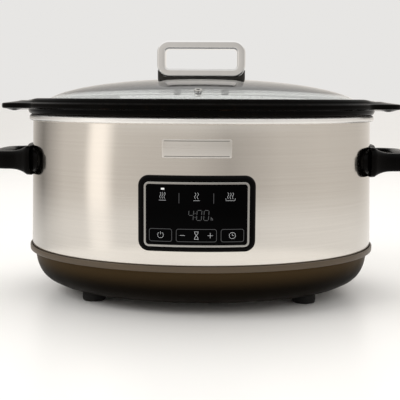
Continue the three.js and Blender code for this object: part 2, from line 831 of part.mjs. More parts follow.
// The dome from its top down to where it is `edge` from the middle, as profile points.
function domeArc(edge, inside, steps = 7) {
  const last = Math.asin(edge / (DOME_HALF - inside));
  return Array.from({ length: steps + 1 }, (_, i) => domePoint((last * i) / steps, inside));
}

// The solid under the dome's outside moved up by `offset`.
function domeSolid(offset) {
  return ovalSweep([[0, 150], [160, 150], ...domeArc(160, -offset).reverse()], domeWidth);
}

function lidGlass() {
  const outside = domeArc(GLASS_EDGE, 0);
  const inside = domeArc(GLASS_EDGE - 3.4, GLASS).reverse();
  const dome = ovalSweep([...outside, ...inside], domeWidth);
  const screwHoles = [-1, 1].map((side) => {
    const x = KNOB_SCREW_X * side;
    return bar(3, [x, 0, 210], [x, 0, 240]);
  });
  return cut(dome, ...screwHoles, bar(3.4, ventPoint(-12), ventPoint(12)));
}

// A point on the vent's line, `along` millimetres outside the glass.
function ventPoint(along) {
  const [point, normal] = ventFrame();
  return point.clone().addScaledVector(normal, along).toArray();
}

// The middle of the vent on the glass, and the glass's outward normal there.
function ventFrame() {
  const halfY = DOME_HALF * DOME_RATIO;
  const rise = DOME_RISE * Math.sqrt(1 - (VENT_Y / halfY) ** 2);
  const point = new THREE.Vector3(0, VENT_Y, DOME_BASE + rise);
  const normal = new THREE.Vector3(0, VENT_Y / halfY ** 2, rise / DOME_RISE ** 2).normalize();
  return [point, normal];
}

// The seal round the lid's edge: it grips the glass above and below and stands on the pot's ledge.
function lidSeal() {
  const low = LID_SEAT + GAP;
  const width = (half) => half - (GLASS_EDGE - domeWidth(GLASS_EDGE));
  return ovalSweep(
    [
      [162.9, low],
      [169.3, low],
      [169.9, low + 0.8],
      [169.9, 206.2],
      [168.6, 207.5],
      [165.2, 207.8],
      [165.2, 207],
      [166.9, 205.9],
      [166.9, 204.9],
      [162.9, 203.6],
    ],
    width,
  );
}

function ventEyelet() {
  return turned(
    [
      [1.6, -6.2],
      [4.9, -6.2],
      [4.9, -5.2],
      [3.1, -5.2],
      [3.1, 0.5],
      [5.4, 0.5],
      [5, 1.4],
      [1.6, 1.4],
    ],
    16,
  );
}

// The chrome loop on the lid, drawn on X and Z.
function lidHandle() {
  const outline = roundedRectangle(KNOB_WIDTH, KNOB_HEIGHT, 12);
  const hole = roundedRectangle(KNOB_WIDTH - 2 * KNOB_BAR - 4, KNOB_HEIGHT - 2 * KNOB_BAR, 7);
  outline.holes.push(hole);
  const round = 2.4;
  const geometry = new THREE.ExtrudeGeometry(outline, {
    depth: KNOB_DEPTH - 2 * round,
    bevelThickness: round,
    bevelSize: round * 0.7,
    bevelOffset: -round * 0.7,
    bevelSegments: 1,
    curveSegments: 5,
  });
  const middle = KNOB_BASE + KNOB_HEIGHT / 2;
  const loop = solidOf(
    geometry.rotateX(Math.PI / 2).translate(0, KNOB_DEPTH / 2 - round, middle),
  );
  const screwHoles = [-1, 1].map((side) => {
    const x = KNOB_SCREW_X * side;
    return bar(2.2, [x, 0, 225], [x, 0, KNOB_BASE + 6]);
  });
  return cut(loop, ...screwHoles);
}

function handleSeal() {
  const pad = pushedUp(roundedRectangle(KNOB_WIDTH - 4, KNOB_DEPTH - 1, 8), 224, KNOB_BASE - GAP);
  const screwHoles = [-1, 1].map((side) => {
    const x = KNOB_SCREW_X * side;
    return bar(2.6, [x, 0, 215], [x, 0, 240]);
  });
  return cut(pad, domeSolid(GAP), ...screwHoles);
}

// ---------------------------------------------------------------- assembly
const housing = new THREE.Group();
const lift = new THREE.Group();
const cover = new THREE.Group();

function add(group, name, solid, material) {
  const mesh = piece(name, solid, material);
  group.add(mesh);
  return mesh;
}

const M = MATERIALS;
add(housing, "outer_wall", outerWall(), M.brushedSteel);
add(housing, "top_rim", topRim(), M.polishedSteel);
add(housing, "heating_liner", heatingLiner(), M.aluminisedSteel);
add(housing, "band_heater", linerBand(HEATER_LOW, HEATER_HIGH, GAP, HEATER_THICKNESS), M.heaterCloth);
add(housing, "heater_strap_lower", heaterStrap(HEATER_LOW + 3), M.zincSteel);
add(housing, "heater_strap_upper", heaterStrap(HEATER_HIGH - 3 - STRAP_WIDTH), M.zincSteel);
add(housing, "heat_shield", heatShield(), M.aluminisedSteel);
add(housing, "base_shell", baseShell(), M.satinPlastic);
add(housing, "base_plate", basePlate(), M.satinPlastic);
add(housing, "tie_rod", tieRod(), M.zincSteel);
add(housing, "tie_washer", tieWasher(), M.zincSteel);
add(housing, "tie_nut", tieNut(), M.zincSteel);

const CORNER_NAMES = ["front_left", "front_right", "rear_left", "rear_right"];
FEET.forEach(([x, y], i) => {
  add(housing, `foot_${CORNER_NAMES[i]}`, foot(), M.rubber).position.set(x, y, 0);
});

const PLATE_SCREW_NAMES = ["left", "right", "front", "rear"];
PLATE_SCREWS.forEach(([x, y], i) => {
  const each = add(housing, `base_screw_${PLATE_SCREW_NAMES[i]}`, screw(3.4, 2, 1.6, 8), M.zincSteel);
  each.position.set(x, y, BASE_FLOOR - GAP);
});

// The rest of the housing: handles, panel, badge, and the electrical parts.
const rightHandle = sideHandle();
add(housing, "side_handle_right", rightHandle, M.satinPlastic);
add(housing, "side_handle_left", rightHandle.mirror([1, 0, 0]), M.satinPlastic);
HANDLE_SCREWS.forEach((each, i) => {
  const mesh = add(housing, `handle_screw_${CORNER_NAMES[i]}`, screw(4.4, 2.6, 2.1, 12), M.zincSteel);
  mesh.position.copy(screwPoint(each, -SHEET - 3 * GAP));
  mesh.quaternion.setFromUnitVectors(new THREE.Vector3(0, 0, 1), screwNormal(each));
});

add(housing, "panel_bezel", panelBezel(), M.glossPlastic);
add(housing, "panel_trim", panelTrim(), M.polishedSteel);
add(housing, "touch_glass", touchGlass(), M.touchGlass);
add(housing, "panel_tray", panelTray(), M.satinPlastic);
add(housing, "control_board", controlBoard(), M.circuitBoard);
add(housing, "display_module", displayModule(), M.component);
PANEL_SCREWS.forEach(([x, z], i) => {
  const name = `panel_screw_${["lower_left", "lower_right", "upper_left", "upper_right"][i]}`;
  const mesh = add(housing, name, screw(3, 1.8, 1.4, 11.4), M.zincSteel);
  mesh.position.set(x, -129 + GAP, z);
  mesh.rotation.x = Math.PI / 2;
});
add(housing, "name_badge", nameBadge(), M.brushedSteel);

add(housing, "power_board", powerBoard(), M.circuitBoard);
add(housing, "transformer", transformer(), M.component);
add(housing, "relay", onBoard([-50, -14], [19, 15.5, 15]), M.component);
add(housing, "terminal_block", terminalBlock(), M.component);
add(housing, "capacitor", capacitor(), M.component).position.set(-48, 12, 0);
BOARD_POSTS.slice(1, 3).forEach(([x, y], i) => {
  const mesh = add(housing, `board_screw_${i + 1}`, screw(2.8, 1.6, 1.2, 6), M.zincSteel);
  mesh.position.set(x, y, BOARD.high + GAP);
  mesh.rotation.x = Math.PI;
});
add(housing, "thermal_fuse", thermalFuse(), M.component);
add(housing, "temperature_sensor", temperatureSensor(), M.zincSteel).position.set(55, 0, 0);
add(housing, "display_cable", displayCable(), M.wire);
add(housing, "heater_lead_left", heaterLead(-1), M.wire);
add(housing, "heater_lead_right", heaterLead(1), M.wire);

const gland = add(housing, "cord_gland", cordGland(), M.rubber);
gland.position.set(0, GLAND_SEAT, GLAND_Z);
gland.rotation.x = -Math.PI / 2;

add(lift, "stoneware_pot", stonewarePot(), M.stoneware);

add(cover, "lid_glass", lidGlass(), M.glass);
add(cover, "lid_seal", lidSeal(), M.silicone);
add(cover, "lid_handle", lidHandle(), M.chrome);
add(cover, "handle_seal", handleSeal(), M.silicone);
const eyelet = add(cover, "vent_eyelet", ventEyelet(), M.polishedSteel);
const [ventMiddle, ventNormal] = ventFrame();
eyelet.position.copy(ventMiddle);
eyelet.quaternion.setFromUnitVectors(new THREE.Vector3(0, 0, 1), ventNormal);
[-1, 1].forEach((side) => {
  const name = `lid_screw_${side < 0 ? "left" : "right"}`;
  const mesh = add(cover, name, screw(6, 3, 1.9, 14), M.zincSteel);
  mesh.position.set(KNOB_SCREW_X * side, 0, DOME_BASE + DOME_RISE - GLASS - 1.4);
});

const cooker = new THREE.Group();
cooker.add(housing, lift, cover);
export default cooker;
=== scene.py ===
"""The looks of an oval slow cooker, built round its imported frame.

Profiles are written in millimetres and become metres as they turn into meshes. +Z is up, the long
axis is X, and the touch panel faces -Y.
"""

import logging
import math
from collections.abc import Iterable, Sequence
from dataclasses import dataclass, field
from enum import Enum

import bmesh
import bpy
from mathutils import Matrix, Vector


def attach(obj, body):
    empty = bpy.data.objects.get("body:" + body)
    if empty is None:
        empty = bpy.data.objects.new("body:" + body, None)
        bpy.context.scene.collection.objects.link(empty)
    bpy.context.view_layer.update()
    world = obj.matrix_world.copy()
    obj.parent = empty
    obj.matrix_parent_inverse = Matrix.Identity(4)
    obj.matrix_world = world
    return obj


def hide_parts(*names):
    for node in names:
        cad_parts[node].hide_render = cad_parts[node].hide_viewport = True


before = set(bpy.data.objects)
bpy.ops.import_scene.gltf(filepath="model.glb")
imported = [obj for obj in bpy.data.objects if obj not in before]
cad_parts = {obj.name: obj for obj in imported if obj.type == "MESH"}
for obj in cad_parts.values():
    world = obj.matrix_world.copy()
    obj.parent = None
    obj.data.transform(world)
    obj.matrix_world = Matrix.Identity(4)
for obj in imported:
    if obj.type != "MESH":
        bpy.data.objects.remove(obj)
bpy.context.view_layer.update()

LOG = logging.getLogger("slow_cooker")
MM = 0.001
FULL_TURN = 2.0 * math.pi
SMOOTH_BELOW = math.radians(34.0)  # edges sharper than this stay crisp

Corner = tuple[float, float, float]  # half length or radius, height, rounding: millimetres
Flat = tuple[float, float]
Colour = tuple[float, float, float]


class Body(Enum):
    """The rigid bodies a piece can ride on."""

    HOUSING = "housing"
    POT = "pot"
    LID = "lid"


class Slot(Enum):
    """The record's material slots."""

    BRUSHED_STEEL = "brushed_steel"
    POLISHED_STEEL = "polished_steel"
    ALUMINISED_STEEL = "aluminised_steel"
    ZINC_STEEL = "zinc_steel"
    CHROME = "chrome"
    STONEWARE = "stoneware"
    GLASS = "glass"
    SATIN_PLASTIC = "satin_plastic"
    GLOSS_PLASTIC = "gloss_plastic"
    TOUCH_GLASS = "touch_glass"
    RUBBER = "rubber"
    SILICONE = "silicone"
    HEATER_CLOTH = "heater_cloth"
    CIRCUIT_BOARD = "circuit_board"
    COMPONENT = "component"
    WIRE = "wire"


class Way(Enum):
    """How one closed form is put together with another."""

    JOIN = "UNION"
    CUT = "DIFFERENCE"


# ------------------------------------------------------------------------------ forms


@dataclass(frozen=True)
class Oval:
    """How an oval's half width follows from its half length, in millimetres."""

    inset: float = 41.0
    core: float = 130.0
    ratio: float = 0.0

    def width(self, half: float) -> float:
        """The half width of the oval whose half length is `half`.

        Args:
            half: the half length, in millimetres.

        Returns:
            The half width, in millimetres.
        """
        if self.ratio:
            return half * self.ratio
        if not self.core:
            return half - self.inset
        share = min(1.0, half / self.core)
        return half - self.inset * share * (2.0 - share)


BODY_OVAL = Oval()
ROUND = Oval(inset=0.0)
DOME_OVAL = Oval(ratio=129.0 / 170.0)
SEAL_OVAL = Oval(inset=166.5 * (1.0 - 129.0 / 170.0), core=0.0)


def press_oval(bm: bmesh.types.BMesh, oval: Oval) -> None:
    """Presses everything turned about the vertical axis from a round into an oval.

    Args:
        bm: the form, changed in place.
        oval: the oval it becomes.
    """
    for vert in bm.verts:
        half = math.hypot(vert.co.x, vert.co.y) / MM
        if half > 1e-4:
            vert.co.y *= oval.width(half) / half


def drawn_profile(corners: Sequence[Corner], soft_steps: int) -> bmesh.types.BMesh:
    """Draws a profile as wire edges on X and Z, with its corners rounded.

    Args:
        corners: each corner's distance from the axis, height and rounding, in millimetres.
        soft_steps: how many edges a rounded corner gets.

    Returns:
        The wire: open where it starts on the axis, otherwise closed on itself.
    """
    bm = bmesh.new()
    verts = [bm.verts.new((half * MM, 0.0, z * MM)) for half, z, _ in corners]
    pairs = list(zip(verts, verts[1:]))
    if corners[0][0] > 0.0:
        pairs.append((verts[-1], verts[0]))
    for pair in pairs:
        bm.edges.new(pair)
    for vert, (_, _, soft) in zip(verts, corners):
        if soft > 0.0:
            bmesh.ops.bevel(
                bm, geom=[vert], offset=soft * MM, offset_type="OFFSET", segments=soft_steps,
                profile=0.5, affect="VERTICES", material=-1,
            )
    return bm


def turned(
    corners: Sequence[Corner], oval: Oval = ROUND, steps: int = 192, soft_steps: int = 4
) -> bmesh.types.BMesh:
    """Spins a profile a full turn about the vertical axis.

    Args:
        corners: the profile, as `drawn_profile` takes it.
        oval: the oval that the round is pressed into.
        steps: how many facets go round.
        soft_steps: how many edges a rounded corner gets.

    Returns:
        The closed form, facing out.
    """
    bm = drawn_profile(corners, soft_steps)
    bmesh.ops.spin(
        bm, geom=bm.verts[:] + bm.edges[:], cent=(0, 0, 0), axis=(0, 0, 1), dvec=(0, 0, 0),
        angle=FULL_TURN, steps=steps, use_merge=True, use_normal_flip=False, use_duplicate=False,
    )
    bmesh.ops.remove_doubles(bm, verts=bm.verts[:], dist=1e-7)
    bmesh.ops.recalc_face_normals(bm, faces=bm.faces[:])
    press_oval(bm, oval)
    return bm


def plate(
    width: float, height: float, corner: float, thickness: float, soft: float, slices: int = 24,
    soft_steps: int = 3,
) -> bmesh.types.BMesh:
    """Makes a plate with round corners, standing on X and Z, ready to be wrapped round a wall.

    Args:
        width: its size along X.
        height: its size along Z.
        corner: the radius of its four corners.
        thickness: how far its face stands in front of its back, along -Y.
        soft: the rounding of its face's edge.
        slices: how many upright strips it is cut into, so that it can bend.
        soft_steps: how many edges the rounding gets.

    Returns:
        The closed plate, with its back at y 0.
    """
    bm = bmesh.new()
    upright = Matrix.Rotation(math.pi / 2.0, 4, "X")
    bmesh.ops.create_grid(bm, x_segments=1, y_segments=1, size=0.5 * MM, matrix=upright)
    bmesh.ops.scale(bm, vec=(width, 1.0, height), verts=bm.verts[:])
    bmesh.ops.bevel(
        bm, geom=bm.verts[:], offset=corner * MM, offset_type="OFFSET", segments=8, profile=0.5,
        affect="VERTICES", material=-1,
    )
    raise_face(bm, Vector((0.0, -thickness * MM, 0.0)))
    soften_rim(bm, Vector((0.0, -1.0, 0.0)), soft, soft_steps)
    cut_strips(bm, Vector((1.0, 0.0, 0.0)), width, slices)
    return bm


def raise_face(bm: bmesh.types.BMesh, rise: Vector) -> None:
    """Pushes a flat outline out along `rise` into a closed slab.

    Args:
        bm: the form, changed in place.
        rise: the push, in metres.
    """
    back = bm.faces[:]
    made = bmesh.ops.extrude_face_region(bm, geom=back, use_keep_orig=True)
    front = [item for item in made["geom"] if isinstance(item, bmesh.types.BMVert)]
    bmesh.ops.translate(bm, verts=front, vec=rise)
    bmesh.ops.recalc_face_normals(bm, faces=bm.faces[:])


def soften_rim(bm: bmesh.types.BMesh, facing: Vector, soft: float, soft_steps: int) -> None:
    """Rounds the edges round the flat faces that look along `facing`.

    Args:
        bm: the form, changed in place.
        facing: where the faces look.
        soft: the rounding, in millimetres.
        soft_steps: how many edges it gets.
    """
    if soft <= 0.0:
        return
    flat = {face for face in bm.faces if face.normal.dot(facing) > 0.999}
    rim = [edge for edge in bm.edges if len(flat.intersection(edge.link_faces)) == 1]
    bmesh.ops.bevel(
        bm, geom=rim, offset=soft * MM, offset_type="OFFSET", segments=soft_steps, profile=0.5,
        affect="EDGES", material=-1, clamp_overlap=True,
    )


def cut_strips(bm: bmesh.types.BMesh, along: Vector, length: float, slices: int) -> None:
    """Cuts a form across `along` into strips, so that it can bend.

    Args:
        bm: the form, changed in place.
        along: the direction cut across.
        length: its length, in millimetres.
        slices: how many strips.
    """
    for index in range(1, slices):
        place = (index / slices - 0.5) * length * MM
        bmesh.ops.bisect_plane(
            bm, geom=bm.verts[:] + bm.edges[:] + bm.faces[:], dist=1e-8, plane_co=along * place,
            plane_no=along,
        )


def bar(start: Vector, end: Vector, radius: float, steps: int = 24) -> bmesh.types.BMesh:
    """A round bar between two points given in millimetres.

    Args:
        start: one end.
        end: the other end.
        radius: in millimetres.
        steps: how many sides.

    Returns:
        The closed form.
    """
    run = end - start
    turn = run.to_track_quat("Z", "Y").to_matrix().to_4x4()
    bm = bmesh.new()
    bmesh.ops.create_cone(
        bm, cap_ends=True, cap_tris=False, segments=steps, radius1=radius * MM, radius2=radius * MM,
        depth=run.length * MM, matrix=Matrix.Translation((start + end) * 0.5 * MM) @ turn,
    )
    return bm


def moved(bm: bmesh.types.BMesh, x: float = 0.0, y: float = 0.0, z: float = 0.0) -> bmesh.types.BMesh:
    """The form itself, shifted by millimetres."""
    bmesh.ops.translate(bm, verts=bm.verts[:], vec=Vector((x, y, z)) * MM)
    return bm


def rotated(bm: bmesh.types.BMesh, degrees: float, axis: str) -> bmesh.types.BMesh:
    """The form itself, turned about an axis through the origin.

    Args:
        bm: the form, changed in place.
        degrees: the angle.
        axis: the axis.

    Returns:
        The form.
    """
    turn = Matrix.Rotation(math.radians(degrees), 3, axis)
    bmesh.ops.rotate(bm, cent=(0, 0, 0), matrix=turn, verts=bm.verts[:])
    return bm


def mirrored(bm: bmesh.types.BMesh, axis: Vector) -> bmesh.types.BMesh:
    """The form itself, turned over to the other side of the origin along an axis.

    Args:
        bm: the form, changed in place.
        axis: the axis.

    Returns:
        The form.
    """
    sign = Vector((1.0, 1.0, 1.0)) - 2.0 * axis
    bmesh.ops.scale(bm, vec=sign, verts=bm.verts[:])
    bmesh.ops.recalc_face_normals(bm, faces=bm.faces[:])
    return bm


def mesh_of(bm: bmesh.types.BMesh, name: str) -> bpy.types.Mesh:
    """Writes a form to a new mesh and lets the form go.

    Args:
        bm: the form, changed in place.
        name: its name.

    Returns:
        The mesh.
    """
    mesh = bpy.data.meshes.new(name)
    bm.to_mesh(mesh)
    bm.free()
    return mesh


def put_together(
    body: bmesh.types.BMesh, tool: bmesh.types.BMesh, way: Way
) -> bmesh.types.BMesh:
    """Joins a closed form to another, or cuts one out of the other.

    Args:
        body: the form that is kept.
        tool: the form that is added or taken away.
        way: whether it is a join or a cut.

    Returns:
        The new form. Both of the old ones are used up.
    """
    holders = [bpy.data.objects.new(word, mesh_of(bm, word)) for word, bm in
               (("work_body", body), ("work_tool", tool))]
    for holder in holders:
        bpy.context.scene.collection.objects.link(holder)
    change = holders[0].modifiers.new("change", "BOOLEAN")
    change.operation = way.value
    change.solver = "EXACT"
    change.object = holders[1]
    reading = bpy.context.evaluated_depsgraph_get()
    made = bmesh.new()
    made.from_mesh(bpy.data.meshes.new_from_object(holders[0].evaluated_get(reading)))
    for holder in holders:
        mesh = holder.data
        bpy.data.objects.remove(holder)
        bpy.data.meshes.remove(mesh)
    return made


def gathered(forms: Iterable[bmesh.types.BMesh]) -> bmesh.types.BMesh:
    """Puts several separate forms into one and uses them up.

    Args:
        forms: the forms.

    Returns:
        The new form.
    """
    whole = bmesh.new()
    for bm in forms:
        mesh = mesh_of(bm, "work_part")
        whole.from_mesh(mesh)
        bpy.data.meshes.remove(mesh)
    return whole


def swept(
    section: bmesh.types.BMesh, stations: Sequence[Matrix], closed: bool = False
) -> bmesh.types.BMesh:
    """Draws a wire section along a row of stations, edge by edge.

    Args:
        section: one closed loop of edges about the origin.
        stations: where the section stands, one matrix for each step.
        closed: whether the last station joins up with the first.

    Returns:
        The closed form, facing out.
    """
    loop = section.verts[:]
    shape = [vert.co.copy() for vert in loop]
    place_ring(loop, shape, stations[0])
    first = section.edges[:]
    ring = first
    for station in stations[1:]:
        made = bmesh.ops.extrude_edge_only(section, edges=ring)["geom"]
        ring = [item for item in made if isinstance(item, bmesh.types.BMEdge)]
        ring = [edge for edge in ring if len(edge.link_faces) == 1 and edge not in first]
        fresh = [item for item in made if isinstance(item, bmesh.types.BMVert)]
        place_ring(fresh, shape, station)
    if closed:
        bmesh.ops.bridge_loops(section, edges=list(first) + list(ring))
    else:
        bmesh.ops.holes_fill(section, edges=section.edges[:], sides=0)
    bmesh.ops.recalc_face_normals(section, faces=section.faces[:])
    return section


def place_ring(ring: Sequence[bmesh.types.BMVert], shape: Sequence[Vector], station: Matrix) -> None:
    """Puts each point of a ring where its station says."""
    for vert, point in zip(ring, shape):
        vert.co = station @ point


def soft_section(width: float, height: float, power: float, steps: int = 32) -> bmesh.types.BMesh:
    """A closed wire loop on X and Y between a rectangle and an ellipse.

    Args:
        width: its size along X.
        height: its size along Y.
        power: 1 gives an ellipse, and smaller values squarer corners.
        steps: how many points go round.

    Returns:
        The loop about the origin.
    """
    bm = bmesh.new()
    bmesh.ops.create_circle(bm, cap_ends=False, segments=steps, radius=1.0)
    for vert in bm.verts:
        x, y = vert.co.x, vert.co.y
        vert.co.x = math.copysign(abs(x) ** power, x) * width / 2.0 * MM
        vert.co.y = math.copysign(abs(y) ** power, y) * height / 2.0 * MM
    return bm


@dataclass(frozen=True)
class WallSurface:
    """The outside of the steel wall, which the panel, badge and handles follow."""

    low: float = 50.0
    high: float = 188.1
    low_half: float = 185.0
    high_half: float = 181.5

    def half(self, z: float) -> float:
        """The half length at a height, in millimetres."""
        share = (z - self.low) / (self.high - self.low)
        return self.low_half + (self.high_half - self.low_half) * share

    def front(self, x: float, z: float, out: float) -> float:
        """Y of the surface `out` in front of the wall, at x and z."""
        half = self.half(z)
        return -(BODY_OVAL.width(half) + out) * math.sqrt(1.0 - (x / (half + out)) ** 2)

    def end(self, y: float, z: float, out: float) -> float:
        """X of the surface `out` outside the wall's right-hand end, at y and z."""
        half = self.half(z)
        return (half + out) * math.sqrt(1.0 - (y / (BODY_OVAL.width(half) + out)) ** 2)

    def wrap_front(self, bm: bmesh.types.BMesh) -> bmesh.types.BMesh:
        """Lays an upright flat form on the front of the wall: its depth becomes its stand-off.

        Args:
            bm: the form, changed in place.

        Returns:
            The form.
        """
        for vert in bm.verts:
            x, y, z = vert.co / MM
            vert.co.y = self.front(x, z, -y) * MM
        return bm

    def wrap_end(self, bm: bmesh.types.BMesh) -> bmesh.types.BMesh:
        """Lays a form whose stand-off is X on the right-hand end of the wall.

        Args:
            bm: the form, changed in place.

        Returns:
            The form.
        """
        for vert in bm.verts:
            x, y, z = vert.co / MM
            vert.co.x = self.end(y, z, x) * MM
        return bm


WALL = WallSurface()


# ------------------------------------------------------------------------------ node graphs


class Graph:
    """Short calls that add nodes to a tree and join them."""

    def __init__(self, tree: bpy.types.NodeTree) -> None:
        """Takes over a node tree."""
        self.tree = tree

    def add(self, kind: str, **values: object) -> bpy.types.Node:
        """Adds a node and sets the named properties on it.

        Args:
            kind: the node's type.
            **values: properties by name.

        Returns:
            The node.
        """
        node = self.tree.nodes.new(kind)
        for name, value in values.items():
            setattr(node, name, value)
        return node

    def join(self, source: bpy.types.NodeSocket, target: bpy.types.NodeSocket) -> None:
        """Links an output to an input."""
        self.tree.links.new(source, target)

    def feed(self, target: bpy.types.NodeSocket, value: object) -> None:
        """Links a socket to an input, or sets the input's own value.

        Args:
            target: the input.
            value: a socket, a number or a colour.
        """
        if isinstance(value, bpy.types.NodeSocket):
            self.join(value, target)
        elif isinstance(value, tuple) and len(value) == 3 and target.type == "RGBA":
            target.default_value = (*value, 1.0)
        else:
            target.default_value = value

    def sum(self, way: str, first: object, second: object = 0.0, clamp: bool = False) -> bpy.types.NodeSocket:
        """One step of arithmetic on numbers.

        Args:
            way: the operation.
            first: the first number.
            second: the second.
            clamp: whether it stays in 0 to 1.

        Returns:
            The output.
        """
        node = self.add("ShaderNodeMath", operation=way, use_clamp=clamp)
        self.feed(node.inputs[0], first)
        self.feed(node.inputs[1], second)
        return node.outputs[0]

    def stretch(self, vector: bpy.types.NodeSocket, scale: object) -> bpy.types.NodeSocket:
        """A vector multiplied by another, part by part.

        Args:
            vector: the vector.
            scale: the other vector.

        Returns:
            The output.
        """
        node = self.add("ShaderNodeVectorMath", operation="MULTIPLY")
        self.join(vector, node.inputs[0])
        self.feed(node.inputs[1], scale)
        return node.outputs[0]

    def noise(self, vector: bpy.types.NodeSocket, scale: object, detail: float = 3.0,
              rough: float = 0.55) -> bpy.types.NodeSocket:
        """Fractal noise from 0 to 1.

        Args:
            vector: where it is read.
            scale: its scale.
            detail: how many octaves.
            rough: how strong the fine ones are.

        Returns:
            The output.
        """
        node = self.add("ShaderNodeTexNoise")
        self.join(vector, node.inputs["Vector"])
        self.feed(node.inputs["Scale"], scale)
        node.inputs["Detail"].default_value = detail
        node.inputs["Roughness"].default_value = rough
        return node.outputs[0]

    def cells(self, vector: bpy.types.NodeSocket, scale: object, feature: str = "F1",
              output: str = "Distance") -> bpy.types.NodeSocket:
        """A cell pattern.

        Args:
            vector: where it is read.
            scale: its scale.
            feature: what is measured.
            output: which output is read.

        Returns:
            The output.
        """
        node = self.add("ShaderNodeTexVoronoi", feature=feature)
        self.join(vector, node.inputs["Vector"])
        self.feed(node.inputs["Scale"], scale)
        return node.outputs[output]

    def remap(self, value: bpy.types.NodeSocket, source: Flat, target: Flat,
              smooth: bool = False) -> bpy.types.NodeSocket:
        """A number moved from one range to another, held inside it.

        Args:
            value: the number.
            source: the range it comes from.
            target: the range it goes to.
            smooth: whether it eases in and out.

        Returns:
            The output.
        """
        node = self.add("ShaderNodeMapRange")
        if smooth:
            node.interpolation_type = "SMOOTHSTEP"
        self.join(value, node.inputs[0])
        for socket, number in zip(node.inputs[1:5], (*source, *target)):
            socket.default_value = number
        return node.outputs[0]

    def blend(self, share: object, first: object, second: object) -> bpy.types.NodeSocket:
        """A colour between two.

        Args:
            share: 0 for the first, 1 for the second.
            first: a colour.
            second: a colour.

        Returns:
            The output.
        """
        node = self.add("ShaderNodeMix", data_type="RGBA")
        colours = [socket for socket in node.inputs if socket.type == "RGBA"]
        self.feed(node.inputs[0], share)
        self.feed(colours[0], first)
        self.feed(colours[1], second)
        return [socket for socket in node.outputs if socket.type == "RGBA"][0]

    def bump(self, height: bpy.types.NodeSocket, strength: float, depth: float,
             normal: bpy.types.NodeSocket | None = None) -> bpy.types.NodeSocket:
        """A normal disturbed by a height; depth is in millimetres.

        Args:
            height: the height.
            strength: how strong it is.
            depth: in millimetres.
            normal: a normal it adds to.

        Returns:
            The output.
        """
        node = self.add("ShaderNodeBump")
        node.inputs["Strength"].default_value = strength
        node.inputs["Distance"].default_value = depth * MM
        self.join(height, node.inputs["Height"])
        if normal is not None:
            self.join(normal, node.inputs["Normal"])
        return node.outputs[0]

    def effect(self, group: bpy.types.NodeTree, **values: object) -> bpy.types.Node:
        """Places a shared effect with its own values.

        Args:
            group: the effect.
            **values: inputs by name.

        Returns:
            The node.
        """
        node = self.add("ShaderNodeGroup", node_tree=group)
        for name, value in values.items():
            self.feed(node.inputs[name], value)
        return node

    def place(self) -> bpy.types.NodeSocket:
        """The point on the object, in metres."""
        return self.add("ShaderNodeTexCoord").outputs["Object"]


def new_effect(name: str, numbers: dict[str, float], outputs: Sequence[str]) -> tuple[
        Graph, bpy.types.Node, bpy.types.Node]:
    """Starts a shared shader effect that reads a Vector and some numbers.

    Args:
        name: the effect's name.
        numbers: its number inputs and their first values.
        outputs: the names of the masks it puts out.

    Returns:
        The graph, the node with its inputs and the node with its outputs.
    """
    tree = bpy.data.node_groups.new(name, "ShaderNodeTree")
    tree.interface.new_socket("Vector", in_out="INPUT", socket_type="NodeSocketVector")
    for word, value in numbers.items():
        socket = tree.interface.new_socket(word, in_out="INPUT", socket_type="NodeSocketFloat")
        socket.default_value = value
    for word in outputs:
        tree.interface.new_socket(word, in_out="OUTPUT", socket_type="NodeSocketFloat")
    graph = Graph(tree)
    return graph, graph.add("NodeGroupInput"), graph.add("NodeGroupOutput")


